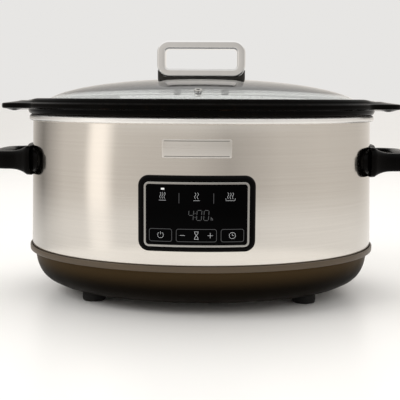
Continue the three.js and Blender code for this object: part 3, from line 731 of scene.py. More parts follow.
class Effects:
    """The surface effects that several finishes share, each built once."""

    def __init__(self) -> None:
        """Builds every effect."""
        self.streaks = self.make_streaks()
        self.grain = self.make_grain()
        self.smudges = self.make_smudges()
        self.edge_mask = self.make_edge_mask()
        self.dust = self.make_dust()

    @staticmethod
    def make_streaks() -> bpy.types.NodeTree:
        """Long fine scratches that all run one way, as brushing leaves them.

        Returns:
            The group.
        """
        graph, given, out = new_effect(
            "brushed_streaks", {"Along": 6.0, "Across": 900.0, "Blotch Scale": 9.0},
            ("Streak", "Blotch"),
        )
        scale = graph.add("ShaderNodeCombineXYZ")
        for index, word in enumerate(("Along", "Along", "Across")):
            graph.join(given.outputs[word], scale.inputs[index])
        fine = graph.noise(graph.stretch(given.outputs["Vector"], scale.outputs[0]), 1.0, 2.0, 0.7)
        half = graph.add("ShaderNodeVectorMath", operation="MULTIPLY")
        graph.join(scale.outputs[0], half.inputs[0])
        half.inputs[1].default_value = (1.4, 1.4, 0.45)
        coarse = graph.noise(graph.stretch(given.outputs["Vector"], half.outputs[0]), 1.0, 2.0, 0.6)
        both = graph.sum("ADD", graph.sum("MULTIPLY", fine, 0.6), graph.sum("MULTIPLY", coarse, 0.4))
        graph.join(graph.remap(both, (0.32, 0.68), (0.0, 1.0)), out.inputs["Streak"])
        blotch = graph.noise(given.outputs["Vector"], given.outputs["Blotch Scale"], 3.0, 0.5)
        graph.join(graph.remap(blotch, (0.35, 0.65), (0.0, 1.0)), out.inputs["Blotch"])
        return graph.tree

    @staticmethod
    def make_grain() -> bpy.types.NodeTree:
        """The fine pebbled texture of a moulding, with a slow mottle under it.

        Returns:
            The group.
        """
        graph, given, out = new_effect(
            "moulded_grain", {"Scale": 2200.0, "Mottle Scale": 30.0}, ("Height", "Mottle")
        )
        vector = given.outputs["Vector"]
        pebbles = graph.cells(vector, given.outputs["Scale"], "SMOOTH_F1")
        fine = graph.noise(vector, given.outputs["Scale"], 2.0, 0.6)
        height = graph.sum("ADD", graph.sum("MULTIPLY", pebbles, 0.7), graph.sum("MULTIPLY", fine, 0.5))
        graph.join(height, out.inputs["Height"])
        mottle = graph.noise(vector, given.outputs["Mottle Scale"], 4.0, 0.6)
        graph.join(graph.remap(mottle, (0.3, 0.7), (0.0, 1.0)), out.inputs["Mottle"])
        return graph.tree

    @staticmethod
    def make_smudges() -> bpy.types.NodeTree:
        """Soft wiped patches, as a cloth or a hand leaves on a gloss surface.

        Returns:
            The group.
        """
        graph, given, out = new_effect(
            "wiped_smudges", {"Scale": 22.0, "Sharpness": 0.5}, ("Smudge", "Ripple")
        )
        vector = given.outputs["Vector"]
        patch = graph.noise(vector, given.outputs["Scale"], 5.0, 0.62)
        low = graph.sum("MULTIPLY", given.outputs["Sharpness"], 0.45)
        share = graph.sum("DIVIDE", graph.sum("SUBTRACT", patch, low), graph.sum("SUBTRACT", 0.75, low), True)
        graph.join(share, out.inputs["Smudge"])
        graph.join(graph.noise(vector, graph.sum("MULTIPLY", given.outputs["Scale"], 2.4), 1.0, 0.4),
                   out.inputs["Ripple"])
        return graph.tree

    @staticmethod
    def make_edge_mask() -> bpy.types.NodeTree:
        """Convex edges, broken up by noise: scuffing, and on mouldings a painted edge highlight too.

        Returns:
            The group.
        """
        graph, given, out = new_effect(
            "convex_edge_mask", {"Start": 0.53, "Break Up": 160.0}, ("Edge",)
        )
        point = graph.add("ShaderNodeNewGeometry").outputs["Pointiness"]
        ragged = graph.noise(given.outputs["Vector"], given.outputs["Break Up"], 3.0, 0.6)
        lifted = graph.sum("ADD", point, graph.sum("MULTIPLY", graph.sum("SUBTRACT", ragged, 0.5), 0.05))
        over = graph.sum("SUBTRACT", lifted, given.outputs["Start"])
        graph.join(graph.sum("MULTIPLY", over, 14.0, True), out.inputs["Edge"])
        return graph.tree

    @staticmethod
    def make_dust() -> bpy.types.NodeTree:
        """A thin uneven film on faces that look up.

        Returns:
            The group.
        """
        graph, given, out = new_effect("settled_dust", {"Scale": 90.0}, ("Dust",))
        normal = graph.add("ShaderNodeNewGeometry").outputs["Normal"]
        parts = graph.add("ShaderNodeSeparateXYZ")
        graph.join(normal, parts.inputs[0])
        upward = graph.remap(parts.outputs[2], (0.35, 1.0), (0.0, 1.0), smooth=True)
        patch = graph.noise(given.outputs["Vector"], given.outputs["Scale"], 5.0, 0.7)
        graph.join(graph.sum("MULTIPLY", upward, graph.remap(patch, (0.45, 0.75), (0.0, 1.0))),
                   out.inputs["Dust"])
        return graph.tree


# ------------------------------------------------------------------------------ finishes


@dataclass(frozen=True)
class Finish:
    """A surface finish. Each kind says how its material is built."""

    name: str
    slot: Slot
    colour: Colour
    shine: float = field(default=0.5, kw_only=True)  # how strongly it mirrors face on

    def build(self, effects: Effects) -> bpy.types.Material:
        """Makes the material.

        Args:
            effects: the shared effects.

        Returns:
            The material, ready for use.
        """
        material = bpy.data.materials.new(self.name)
        material.use_nodes = True
        graph = Graph(material.node_tree)
        shader = material.node_tree.nodes["Principled BSDF"]
        graph.feed(shader.inputs["Base Color"], self.colour)
        shader.inputs["Specular IOR Level"].default_value = self.shine
        self.dress(graph, shader, effects)
        return material

    def dress(self, graph: Graph, shader: bpy.types.Node, effects: Effects) -> None:
        """Adds what this kind of finish shows; the plain kind adds nothing."""


@dataclass(frozen=True)
class BrushedMetal(Finish):
    """Metal brushed level all round."""

    dark: Colour = (0.5, 0.47, 0.43)
    roughness: Flat = (0.1, 0.135)
    along: float = 4.0
    across: float = 1500.0
    depth: float = 0.004
    pull: float = 0.5  # how far the brushing draws reflections out

    def dress(self, graph: Graph, shader: bpy.types.Node, effects: Effects) -> None:
        """Fine level streaks in colour, sheen and relief.

        Args:
            graph: the material's graph.
            shader: its Principled node.
            effects: the shared effects.
        """
        place = graph.place()
        marks = graph.effect(effects.streaks, Vector=place, Along=self.along, Across=self.across)
        smudge = graph.effect(effects.smudges, Vector=place, Scale=14.0)
        tone = graph.sum("ADD", graph.sum("MULTIPLY", marks.outputs["Streak"], 0.6),
                         graph.sum("MULTIPLY", marks.outputs["Blotch"], 0.4))
        graph.join(graph.blend(tone, self.dark, self.colour), shader.inputs["Base Color"])
        rough = graph.remap(marks.outputs["Streak"], (0.0, 1.0), self.roughness)
        rough = graph.sum("ADD", rough, graph.sum("MULTIPLY", smudge.outputs["Smudge"], 0.04))
        graph.join(rough, shader.inputs["Roughness"])
        graph.join(graph.bump(marks.outputs["Streak"], 0.5, self.depth), shader.inputs["Normal"])
        shader.inputs["Metallic"].default_value = 1.0
        shader.inputs["Anisotropic"].default_value = self.pull
        shader.inputs["Anisotropic Rotation"].default_value = 0.25
        lie = graph.add("ShaderNodeTangent", direction_type="RADIAL", axis="Z")
        graph.join(lie.outputs[0], shader.inputs["Tangent"])


@dataclass(frozen=True)
class PolishedMetal(Finish):
    """Bright metal with faint wiping marks."""

    roughness: Flat = (0.05, 0.12)
    ripple: float = 0.01

    def dress(self, graph: Graph, shader: bpy.types.Node, effects: Effects) -> None:
        """Wiping marks in the gloss and a slight waviness.

        Args:
            graph: the material's graph.
            shader: its Principled node.
            effects: the shared effects.
        """
        place = graph.place()
        smudge = graph.effect(effects.smudges, Vector=place, Scale=38.0)
        edge_mask = graph.effect(effects.edge_mask, Vector=place)
        rough = graph.remap(smudge.outputs["Smudge"], (0.0, 1.0), self.roughness)
        graph.join(graph.sum("ADD", rough, graph.sum("MULTIPLY", edge_mask.outputs["Edge"], 0.05)),
                   shader.inputs["Roughness"])
        tint = tuple(part * 0.93 for part in self.colour)
        graph.join(graph.blend(smudge.outputs["Smudge"], self.colour, tint), shader.inputs["Base Color"])
        graph.join(graph.bump(smudge.outputs["Ripple"], 0.3, self.ripple), shader.inputs["Normal"])
        shader.inputs["Metallic"].default_value = 1.0


@dataclass(frozen=True)
class SheetMetal(Finish):
    """Coated sheet with a crystal pattern and drawing marks."""

    spangle: float = 160.0
    roughness: Flat = (0.34, 0.52)

    def dress(self, graph: Graph, shader: bpy.types.Node, effects: Effects) -> None:
        """Spangle in tone and gloss, with soft upright drawing marks.

        Args:
            graph: the material's graph.
            shader: its Principled node.
            effects: not used.
        """
        place = graph.place()
        flake = graph.cells(place, self.spangle, output="Color")
        shade = graph.add("ShaderNodeSeparateColor")
        graph.join(flake, shade.inputs[0])
        drawn = graph.noise(graph.stretch(place, (260.0, 260.0, 5.0)), 1.0, 2.0, 0.6)
        tone = graph.sum("ADD", graph.sum("MULTIPLY", shade.outputs[0], 0.45), graph.sum("MULTIPLY", drawn, 0.55))
        dull = tuple(part * 0.62 for part in self.colour)
        graph.join(graph.blend(tone, dull, self.colour), shader.inputs["Base Color"])
        graph.join(graph.remap(tone, (0.2, 0.8), self.roughness), shader.inputs["Roughness"])
        graph.join(graph.bump(drawn, 0.35, 0.03), shader.inputs["Normal"])
        shader.inputs["Metallic"].default_value = 1.0


@dataclass(frozen=True)
class Moulding(Finish):
    """Moulded plastic or rubber with a fine grain."""

    roughness: Flat = (0.34, 0.46)
    grain: float = 2200.0
    relief: float = 0.012
    # tone of scuffed edges and of the mottle; where it is lighter than the colour, the edges carry a painted
    # highlight as well as scuffing
    rubbed_and_highlight: Colour = (0.05, 0.046, 0.042)
    film: float = 0.12
    painted_shade_heights: Flat | None = None  # heights between which it goes from nearly black to its colour, in metres: painted shade, darker towards the floor

    def dress(self, graph: Graph, shader: bpy.types.Node, effects: Effects) -> None:
        """Grain in the relief, mottle in the gloss, scuffed edges that are partly a painted edge highlight, a film
        of dust, and painted shade towards the floor when its heights are given.

        Args:
            graph: the material's graph.
            shader: its Principled node.
            effects: the shared effects.
        """
        place = graph.place()
        grain = graph.effect(effects.grain, Vector=place, Scale=self.grain)
        smudge = graph.effect(effects.smudges, Vector=place, Scale=26.0)
        edge_mask = graph.effect(effects.edge_mask, Vector=place)
        dust = graph.effect(effects.dust, Vector=place)
        # painted edge highlight: convex edges lean to the lighter tone, partly scuffing and partly light caught on
        # the edge
        edge = graph.sum("MULTIPLY", edge_mask.outputs["Edge"], 0.5)
        worn_and_highlit = graph.blend(edge, self.colour, self.rubbed_and_highlight)
        mottled = graph.blend(graph.sum("MULTIPLY", grain.outputs["Mottle"], 0.25), worn_and_highlit, self.rubbed_and_highlight)
        dust_and_painted_light = graph.blend(graph.sum("MULTIPLY", dust.outputs["Dust"], self.film), mottled, (0.3, 0.28, 0.25))
        # painted shade: between these heights the colour darkens to nearly black towards the floor
        if self.painted_shade_heights:
            parts = graph.add("ShaderNodeSeparateXYZ")
            graph.join(place, parts.inputs[0])
            deep = tuple(part * 0.06 for part in self.colour)
            dust_and_painted_light = graph.blend(graph.remap(parts.outputs[2], self.painted_shade_heights, (0.0, 1.0), smooth=True), deep, dust_and_painted_light)
        graph.join(dust_and_painted_light, shader.inputs["Base Color"])
        rough = graph.remap(grain.outputs["Mottle"], (0.0, 1.0), self.roughness)
        rough = graph.sum("ADD", rough, graph.sum("MULTIPLY", smudge.outputs["Smudge"], 0.05))
        graph.join(graph.sum("ADD", rough, graph.sum("MULTIPLY", dust.outputs["Dust"], 0.15)),
                   shader.inputs["Roughness"])
        graph.join(graph.bump(grain.outputs["Height"], 0.6, self.relief), shader.inputs["Normal"])


@dataclass(frozen=True)
class Glaze(Finish):
    """Thick black glaze over stoneware that thins to brown on the edges."""

    broken: Colour = (0.02, 0.009, 0.004)
    roughness: Flat = (0.05, 0.14)

    def dress(self, graph: Graph, shader: bpy.types.Node, effects: Effects) -> None:
        """Pooling in the relief, brown where the glaze thins and a few pinholes.

        Args:
            graph: the material's graph.
            shader: its Principled node.
            effects: the shared effects.
        """
        place = graph.place()
        smudge = graph.effect(effects.smudges, Vector=place, Scale=30.0)
        edge_mask = graph.effect(effects.edge_mask, Vector=place)
        dust = graph.effect(effects.dust, Vector=place)
        edge_mask.inputs["Start"].default_value = 0.51
        thin = graph.blend(graph.sum("MULTIPLY", edge_mask.outputs["Edge"], 0.55), self.colour, self.broken)
        speck = graph.remap(graph.cells(place, 120.0), (0.0, 0.045), (0.7, 0.0))
        dotted = graph.blend(speck, thin, (0.012, 0.008, 0.006))
        graph.join(graph.blend(graph.sum("MULTIPLY", dust.outputs["Dust"], 0.02), dotted, (0.3, 0.28, 0.25)),
                   shader.inputs["Base Color"])
        graph.join(graph.remap(smudge.outputs["Smudge"], (0.0, 1.0), self.roughness),
                   shader.inputs["Roughness"])
        pooled = graph.noise(place, 55.0, 2.0, 0.45)
        graph.join(graph.bump(pooled, 0.25, 0.12), shader.inputs["Normal"])


@dataclass(frozen=True)
class Biscuit(Finish):
    """Bare fired clay on the ring the pot stands on."""

    def dress(self, graph: Graph, shader: bpy.types.Node, effects: Effects) -> None:
        """Sandy specks and a dry surface.

        Args:
            graph: the material's graph.
            shader: its Principled node.
            effects: the shared effects.
        """
        place = graph.place()
        grain = graph.effect(effects.grain, Vector=place, Scale=900.0)
        dark = tuple(part * 0.5 for part in self.colour)
        graph.join(graph.blend(grain.outputs["Height"], dark, self.colour), shader.inputs["Base Color"])
        graph.join(graph.remap(grain.outputs["Mottle"], (0.0, 1.0), (0.75, 0.95)), shader.inputs["Roughness"])
        graph.join(graph.bump(grain.outputs["Height"], 0.8, 0.08), shader.inputs["Normal"])


@dataclass(frozen=True)
class ClearGlass(Finish):
    """Clear pressed glass."""

    def dress(self, graph: Graph, shader: bpy.types.Node, effects: Effects) -> None:
        """Clear, with the faint waviness of pressing and a few wiping marks.

        Args:
            graph: the material's graph.
            shader: its Principled node.
            effects: the shared effects.
        """
        place = graph.place()
        smudge = graph.effect(effects.smudges, Vector=place, Scale=12.0)
        graph.join(graph.remap(smudge.outputs["Smudge"], (0.0, 1.0), (0.0, 0.035)),
                   shader.inputs["Roughness"])
        graph.join(graph.bump(smudge.outputs["Ripple"], 0.1, 0.05), shader.inputs["Normal"])
        shader.inputs["Metallic"].default_value = 0.0
        shader.inputs["Transmission Weight"].default_value = 1.0
        shader.inputs["IOR"].default_value = 1.5


@dataclass(frozen=True)
class LitMark(Finish):
    """A mark that glows through the touch glass."""

    glow: float = 1.0

    def dress(self, graph: Graph, shader: bpy.types.Node, effects: Effects) -> None:
        """An even glow, a little brighter in the middle of each stroke.

        Args:
            graph: the material's graph.
            shader: its Principled node.
            effects: not used.
        """
        place = graph.place()
        speckle = graph.noise(place, 900.0, 1.0, 0.4)
        faint = tuple(part * 0.86 for part in self.colour)
        glow = graph.blend(speckle, faint, self.colour)
        graph.join(glow, shader.inputs["Emission Color"])
        graph.feed(shader.inputs["Base Color"], (0.002, 0.002, 0.002))
        shader.inputs["Emission Strength"].default_value = self.glow
        shader.inputs["Roughness"].default_value = 0.4


@dataclass(frozen=True)
class Cloth(Finish):
    """Woven glass cloth."""

    pitch: float = 700.0

    def dress(self, graph: Graph, shader: bpy.types.Node, effects: Effects) -> None:
        """An over-and-under weave in tone and relief.

        Args:
            graph: the material's graph.
            shader: its Principled node.
            effects: the shared effects.
        """
        place = graph.place()
        threads = []
        for axis in ("X", "Z"):
            wave = graph.add("ShaderNodeTexWave", wave_type="BANDS", bands_direction=axis)
            graph.join(place, wave.inputs["Vector"])
            wave.inputs["Scale"].default_value = self.pitch / 3.0
            threads.append(wave.outputs["Fac"])
        weave = graph.sum("MULTIPLY", graph.sum("ADD", *threads), 0.5)
        grain = graph.effect(effects.grain, Vector=place, Scale=1500.0)
        dark = tuple(part * 0.55 for part in self.colour)
        tone = graph.sum("MULTIPLY", graph.sum("ADD", weave, grain.outputs["Mottle"]), 0.5)
        graph.join(graph.blend(tone, dark, self.colour), shader.inputs["Base Color"])
        graph.join(graph.bump(weave, 0.8, 0.15), shader.inputs["Normal"])
        shader.inputs["Roughness"].default_value = 0.9


@dataclass(frozen=True)
class Board(Finish):
    """A printed circuit board under green lacquer."""

    copper: Colour = (0.09, 0.32, 0.14)

    def dress(self, graph: Graph, shader: bpy.types.Node, effects: Effects) -> None:
        """Blocky tracks that show lighter through the lacquer.

        Args:
            graph: the material's graph.
            shader: its Principled node.
            effects: the shared effects.
        """
        place = graph.place()
        tracks = graph.cells(place, 260.0, "DISTANCE_TO_EDGE")
        line = graph.remap(tracks, (0.03, 0.07), (1.0, 0.0))
        grain = graph.effect(effects.grain, Vector=place)
        graph.join(graph.blend(graph.sum("MULTIPLY", line, 0.7), self.colour, self.copper),
                   shader.inputs["Base Color"])
        graph.join(graph.remap(grain.outputs["Mottle"], (0.0, 1.0), (0.25, 0.4)), shader.inputs["Roughness"])
        graph.join(graph.bump(line, 0.5, 0.04), shader.inputs["Normal"])


BRUSHED_STEEL = BrushedMetal("wall_steel", Slot.BRUSHED_STEEL, (0.77, 0.732, 0.68), dark=(0.705, 0.666, 0.617))
BADGE_STEEL = BrushedMetal(
    "badge_steel", Slot.BRUSHED_STEEL, (0.78, 0.75, 0.71), dark=(0.68, 0.65, 0.61), roughness=(0.24, 0.32)
)
RIM_STEEL = PolishedMetal("rim_steel", Slot.POLISHED_STEEL, (0.98, 0.965, 0.94), roughness=(0.34, 0.42))
CHROME = PolishedMetal("chrome_plate", Slot.CHROME, (0.9, 0.9, 0.9), roughness=(0.02, 0.06), ripple=0.004)
LINER_SHEET = SheetMetal("liner_sheet", Slot.ALUMINISED_STEEL, (0.62, 0.63, 0.63))
ZINC_PLATE = SheetMetal("zinc_plate", Slot.ZINC_STEEL, (0.7, 0.71, 0.68), spangle=500.0, roughness=(0.25, 0.42))
BLACK_GLAZE = Glaze("black_glaze", Slot.STONEWARE, (0.0010, 0.0008, 0.0006), shine=0.03)
BARE_CLAY = Biscuit("bare_clay", Slot.STONEWARE, (0.34, 0.25, 0.18))
LID_GLASS = ClearGlass("lid_glass_clear", Slot.GLASS, (0.965, 0.985, 0.975))
# its lower heights are painted shade: the base darkens to nearly black towards the floor
SATIN_BLACK = Moulding(
    "satin_black", Slot.SATIN_PLASTIC, (0.062, 0.039, 0.0165), shine=0.03, rubbed_and_highlight=(0.064, 0.042, 0.02), film=0.01,
    painted_shade_heights=(0.024, 0.05),
)
# its lighter edge tone is a painted edge highlight as well as scuffing
HANDLE_BLACK = Moulding(
    "handle_black", Slot.SATIN_PLASTIC, (0.0012, 0.001, 0.0009), shine=0.045, roughness=(0.2, 0.3), relief=0.006,
    rubbed_and_highlight=(0.004, 0.0035, 0.003), film=0.004,
)
# its lighter edge tone is a painted edge highlight as well as scuffing
GLOSS_BLACK = Moulding(
    "gloss_black", Slot.GLOSS_PLASTIC, (0.0008, 0.0008, 0.0007), shine=0.05, roughness=(0.08, 0.14), relief=0.0015,
    rubbed_and_highlight=(0.004, 0.004, 0.004), film=0.01,
)
PANEL_BLACK = Moulding(
    "panel_black", Slot.TOUCH_GLASS, (0.0004, 0.0004, 0.0005), shine=0.03, roughness=(0.05, 0.1), relief=0.0004,
    rubbed_and_highlight=(0.001, 0.001, 0.001), film=0.0,
)
# the lip's glossier satin is real; its colour, lighter than the bowl's, is painted sheen
LIP_BLACK = Moulding(
    "lip_black", Slot.SATIN_PLASTIC, (0.085, 0.06, 0.036), shine=0.4, roughness=(0.3, 0.4), relief=0.006,
    rubbed_and_highlight=(0.05, 0.044, 0.035), film=0.04,
)
TRIM_STEEL = PolishedMetal("trim_steel", Slot.POLISHED_STEEL, (0.46, 0.45, 0.43), roughness=(0.16, 0.22))
RUBBER = Moulding(
    "foot_rubber", Slot.RUBBER, (0.006, 0.006, 0.006), shine=0.2, roughness=(0.7, 0.85), grain=1500.0, relief=0.03
)
SILICONE = Moulding(
    "seal_silicone", Slot.SILICONE, (0.004, 0.004, 0.004), shine=0.2, film=0.02, roughness=(0.45, 0.6),
    grain=2600.0, relief=0.008,
)
COMPONENT = Moulding("component_case", Slot.COMPONENT, (0.025, 0.025, 0.028), relief=0.02)
WIRE_JACKET = Moulding("wire_jacket", Slot.WIRE, (0.3, 0.05, 0.03), rubbed_and_highlight=(0.36, 0.1, 0.07))
BLACK_PRINT = Moulding("black_print", Slot.BRUSHED_STEEL, (0.02, 0.018, 0.016), relief=0.003)
HEATER_CLOTH = Cloth("woven_cloth", Slot.HEATER_CLOTH, (0.62, 0.58, 0.46))
CIRCUIT_BOARD = Board("lacquered_board", Slot.CIRCUIT_BOARD, (0.015, 0.12, 0.05))
BRIGHT_MARK = LitMark("lit_mark_bright", Slot.TOUCH_GLASS, (1.0, 0.99, 0.97), shine=0.0, glow=1.0)
SOFT_MARK = LitMark("lit_mark_soft", Slot.TOUCH_GLASS, (0.9, 0.9, 0.9), shine=0.0, glow=0.62)
DIM_MARK = LitMark("lit_mark_dim", Slot.TOUCH_GLASS, (0.8, 0.8, 0.8), shine=0.0, glow=0.13)


class Workshop:
    """Turns forms into dressed pieces that ride on their bodies."""

    def __init__(self) -> None:
        """Builds the shared effects and starts with no materials."""
        self.effects = Effects()
        self.made: dict[str, bpy.types.Material] = {}

    def material(self, finish: Finish) -> bpy.types.Material:
        """The one material of a finish.

        Args:
            finish: the finish.

        Returns:
            The material.
        """
        if finish.name not in self.made:
            self.made[finish.name] = finish.build(self.effects)
        return self.made[finish.name]

    def piece(
        self, name: str, form: bmesh.types.BMesh, finish: Finish, body: Body, stands_for: Sequence[str] = (),
        second: Finish | None = None, smooth_below: float = SMOOTH_BELOW,
    ) -> bpy.types.Object:
        """Makes a piece of the visual model.

        Args:
            name: the piece's name.
            form: its shape, in place. It is used up.
            finish: what it wears.
            body: what it rides on.
            stands_for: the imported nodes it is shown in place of.
            second: the finish of faces whose material index is 1.
            smooth_below: edges sharper than this angle stay crisp.

        Returns:
            The object.
        """
        for face in form.faces:
            face.smooth = True
        mesh = mesh_of(form, name)
        mesh.set_sharp_from_angle(angle=smooth_below)
        for each in (finish, second):
            if each is not None:
                mesh.materials.append(self.material(each))
        made = bpy.data.objects.new(name, mesh)
        bpy.context.scene.collection.objects.link(made)
        if stands_for:
            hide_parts(*stands_for)
        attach(made, body.value)
        LOG.info("%s: %d faces", name, len(mesh.polygons))
        return made

    def dress_node(self, node: str, finish: Finish) -> None:
        """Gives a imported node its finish.

        Args:
            node: the node's name.
            finish: the finish.
        """
        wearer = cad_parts[node]
        for holder in wearer.material_slots:
            holder.material = self.material(finish)


# ------------------------------------------------------------------------------ housing


@dataclass
class Jacket:
    """The brushed steel wall, the bright rim on it and the seam at its back."""

    sheet: float = 1.0
    rim_half: float = 185.3
    rim_low: float = 184.8
    rim_high: float = 191.3
    rim_sheet: float = 1.4
    rim_opening: float = 172.5
    seam_width: float = 9.0

    def wall(self) -> bmesh.types.BMesh:
        """The rolled sheet, plumb at the bottom and drawn in a little at the top.

        Returns:
            The closed form.
        """
        return turned([
            (WALL.low_half, WALL.low, 0.2),
            (WALL.high_half, WALL.high, 0.3),
            (WALL.high_half - self.sheet, WALL.high, 0.3),
            (WALL.low_half - self.sheet, WALL.low, 0.2),
        ], BODY_OVAL, steps=256, soft_steps=2)

    def rim(self) -> bmesh.types.BMesh:
        """The pressed ring that hooks over the top of the wall.

        Returns:
            The closed form.
        """
        inner = WALL.high_half + 0.5
        return turned([
            (inner, self.rim_low, 0.4),
            (self.rim_half, self.rim_low, 2.2),
            (self.rim_half, self.rim_high, 3.4),
            (self.rim_opening, self.rim_high, 0.6),
            (self.rim_opening, self.rim_high - self.rim_sheet, 0.4),
            (inner, self.rim_high - self.rim_sheet, 0.5),
        ], BODY_OVAL, steps=256, soft_steps=5)

    def seam(self) -> bmesh.types.BMesh:
        """The folded joint down the back of the wall.

        Returns:
            The closed form.
        """
        height = WALL.high - WALL.low - 9.0
        strip = plate(self.seam_width, height, 0.8, 0.7, 0.35, slices=6)
        moved(strip, z=(WALL.low + WALL.high) / 2.0 - 1.0)
        return mirrored(WALL.wrap_front(strip), Vector((0.0, 1.0, 0.0)))

    def build(self, shop: Workshop) -> None:
        """Makes the three pieces.

        Args:
            shop: where pieces are made.
        """
        shop.piece("wall_jacket", self.wall(), BRUSHED_STEEL, Body.HOUSING, ["outer_wall"])
        shop.piece("wall_seam", self.seam(), BRUSHED_STEEL, Body.HOUSING)
        shop.piece("rim_ring", self.rim(), RIM_STEEL, Body.HOUSING, ["top_rim"])


@dataclass
class Base:
    """The black base: bowl, cover plate, feet, cord gland and the fixings under it."""

    floor: float = 9.5
    skin: float = 3.0
    opening: float = 116.0
    recess: float = 124.2
    foot_place: Flat = (109.0, 66.0)
    foot_height: float = 9.2
    vents: int = 4
    gland_height: float = 31.0
    gland_seat: float = 141.0

    def bowl(self) -> bmesh.types.BMesh:
        """The base shell with its lip, and the flat seat for the gland at the back.

        Returns:
            The closed form.
        """
        shell = turned([
            (self.recess, self.floor, 0.5),
            (157.0, self.floor, 4.0),
            (172.4, 17.6, 6.0),
            (179.4, 29.5, 6.0),
            (182.0, 45.0, 0.5),
            (183.8, 45.9, 0.4),
            (187.3, 46.4, 0.9),
            (187.3, 52.0, 0.7),
            (185.5, 52.0, 0.3),
            (185.5, 49.7, 0.2),
            (182.6, 49.7, 0.6),
            (179.2, 45.0, 1.0),
            (176.0, 29.0, 4.0),
            (168.5, 18.5, 4.0),
            (155.4, self.floor + self.skin, 2.0),
            (self.opening, self.floor + self.skin, 0.4),
            (self.opening, self.floor + 1.9, 0.2),
            (self.recess, self.floor + 1.9, 0.2),
        ], BODY_OVAL, steps=256, soft_steps=6)
        seat = rotated(turned([(0, 0, 0), (13.0, 0, 0), (13.0, 13.0, 0.8), (0, 13.0, 0)], steps=64), -90.0, "X")
        shell = put_together(shell, moved(seat, y=self.gland_seat - 13.0, z=self.gland_height), Way.JOIN)
        hole = bar(Vector((0, 110, self.gland_height)), Vector((0, 160, self.gland_height)), 6.6, 48)
        shell = put_together(shell, hole, Way.CUT)
        # the lip band takes the second finish, whose lighter colour is painted sheen
        for face in shell.faces:
            if face.calc_center_median().z > 45.6 * MM:
                face.material_index = 1
        return shell

    def cover(self) -> bmesh.types.BMesh:
        """The plate that closes the underside, with its vents and screw dimples.

        Returns:
            The closed form.
        """
        edge = self.recess - 0.4
        top = self.floor + 1.6
        disc = turned([(0, self.floor, 0), (edge, self.floor, 0.5), (edge, top, 0.2), (0, top, 0)],
                      BODY_OVAL, steps=192, soft_steps=3)
        cuts = []
        for index in range(self.vents):
            slot = plate(3.0, 40.0, 1.49, 10.0, 0.0, slices=1)
            cuts.append(moved(rotated(slot, 90.0, "X"), x=46.0 + 12.0 * index, z=5.0))
        for x, y in self.screw_places():
            cuts.append(bar(Vector((x, y, 5)), Vector((x, y, 15)), 1.9))
        cuts.append(bar(Vector((0, 0, 5)), Vector((0, 0, 15)), 4.5, 32))
        return put_together(disc, gathered(cuts), Way.CUT)

    @staticmethod
    def screw_places() -> list[Flat]:
        """Where the plate's four screws are, in millimetres."""
        return [(-120.0, 0.0), (120.0, 0.0), (0.0, -78.6), (0.0, 78.6)]

    def foot(self, x: float, y: float) -> bmesh.types.BMesh:
        """A rubber foot with a ring groove in its sole and a flared top.

        Args:
            x: its place along X.
            y: its place along Y.

        Returns:
            The closed form.
        """
        form = turned([
            (0, 0.5, 0), (5.0, 0.5, 0.2), (5.6, 0.0, 0.3), (7.6, 0.0, 0.3), (8.2, 0.6, 0.2),
            (9.0, 0.6, 0.2), (9.6, 0.0, 0.3), (11.4, 0.0, 0.9), (12.0, 3.4, 0.8),
            (11.5, self.foot_height, 0.3), (3.2, self.foot_height, 0.0), (3.2, 12.8, 0.0),
            (4.6, 13.2, 0.3), (2.4, 16.4, 0.4), (0, 16.4, 0),
        ], steps=56, soft_steps=3)
        return moved(form, x=x, y=y)

    def gland(self) -> bmesh.types.BMesh:
        """The bush that the cord enters by, with its ribs.

        Returns:
            The closed form.
        """
        form = turned([
            (4.4, -16.4, 0.4), (4.4, 8.0, 1.0), (6.8, 8.0, 0.9), (7.1, 6.8, 0.2), (6.6, 6.3, 0.2),
            (7.3, 5.5, 0.2), (7.0, 5.0, 0.2), (7.8, 4.2, 0.2), (8.4, 2.8, 0.3), (10.5, 2.8, 0.7),
            (10.5, 0.3, 0.3), (6.2, 0.3, 0.2), (6.2, -13.4, 0.2), (8.0, -14.0, 0.3), (8.0, -16.4, 0.8),
        ], steps=64, soft_steps=3)
        return moved(rotated(form, -90.0, "X"), y=self.gland_seat, z=self.gland_height)

    def build(self, shop: Workshop) -> None:
        """Makes the base's pieces.

        Args:
            shop: where pieces are made.
        """
        shop.piece("base_bowl", self.bowl(), SATIN_BLACK, Body.HOUSING, ["base_shell"], second=LIP_BLACK)
        shop.piece("base_cover", self.cover(), SATIN_BLACK, Body.HOUSING, ["base_plate"])
        shop.piece("cord_bush", self.gland(), RUBBER, Body.HOUSING, ["cord_gland"])
        corners = {"front_left": (-1, -1), "front_right": (1, -1), "rear_left": (-1, 1), "rear_right": (1, 1)}
        for word, (side, end) in corners.items():
            form = self.foot(side * self.foot_place[0], end * self.foot_place[1])
            shop.piece(f"rubber_foot_{word}", form, RUBBER, Body.HOUSING, [f"foot_{word}"])
        for word, (x, y) in zip(("left", "right", "front", "rear"), self.screw_places()):
            form = moved(pan_screw(3.4, 2.0, 1.6, 8.0), x=x, y=y, z=self.floor - 0.3)
            shop.piece(f"cover_screw_{word}", form, ZINC_PLATE, Body.HOUSING, [f"base_screw_{word}"])


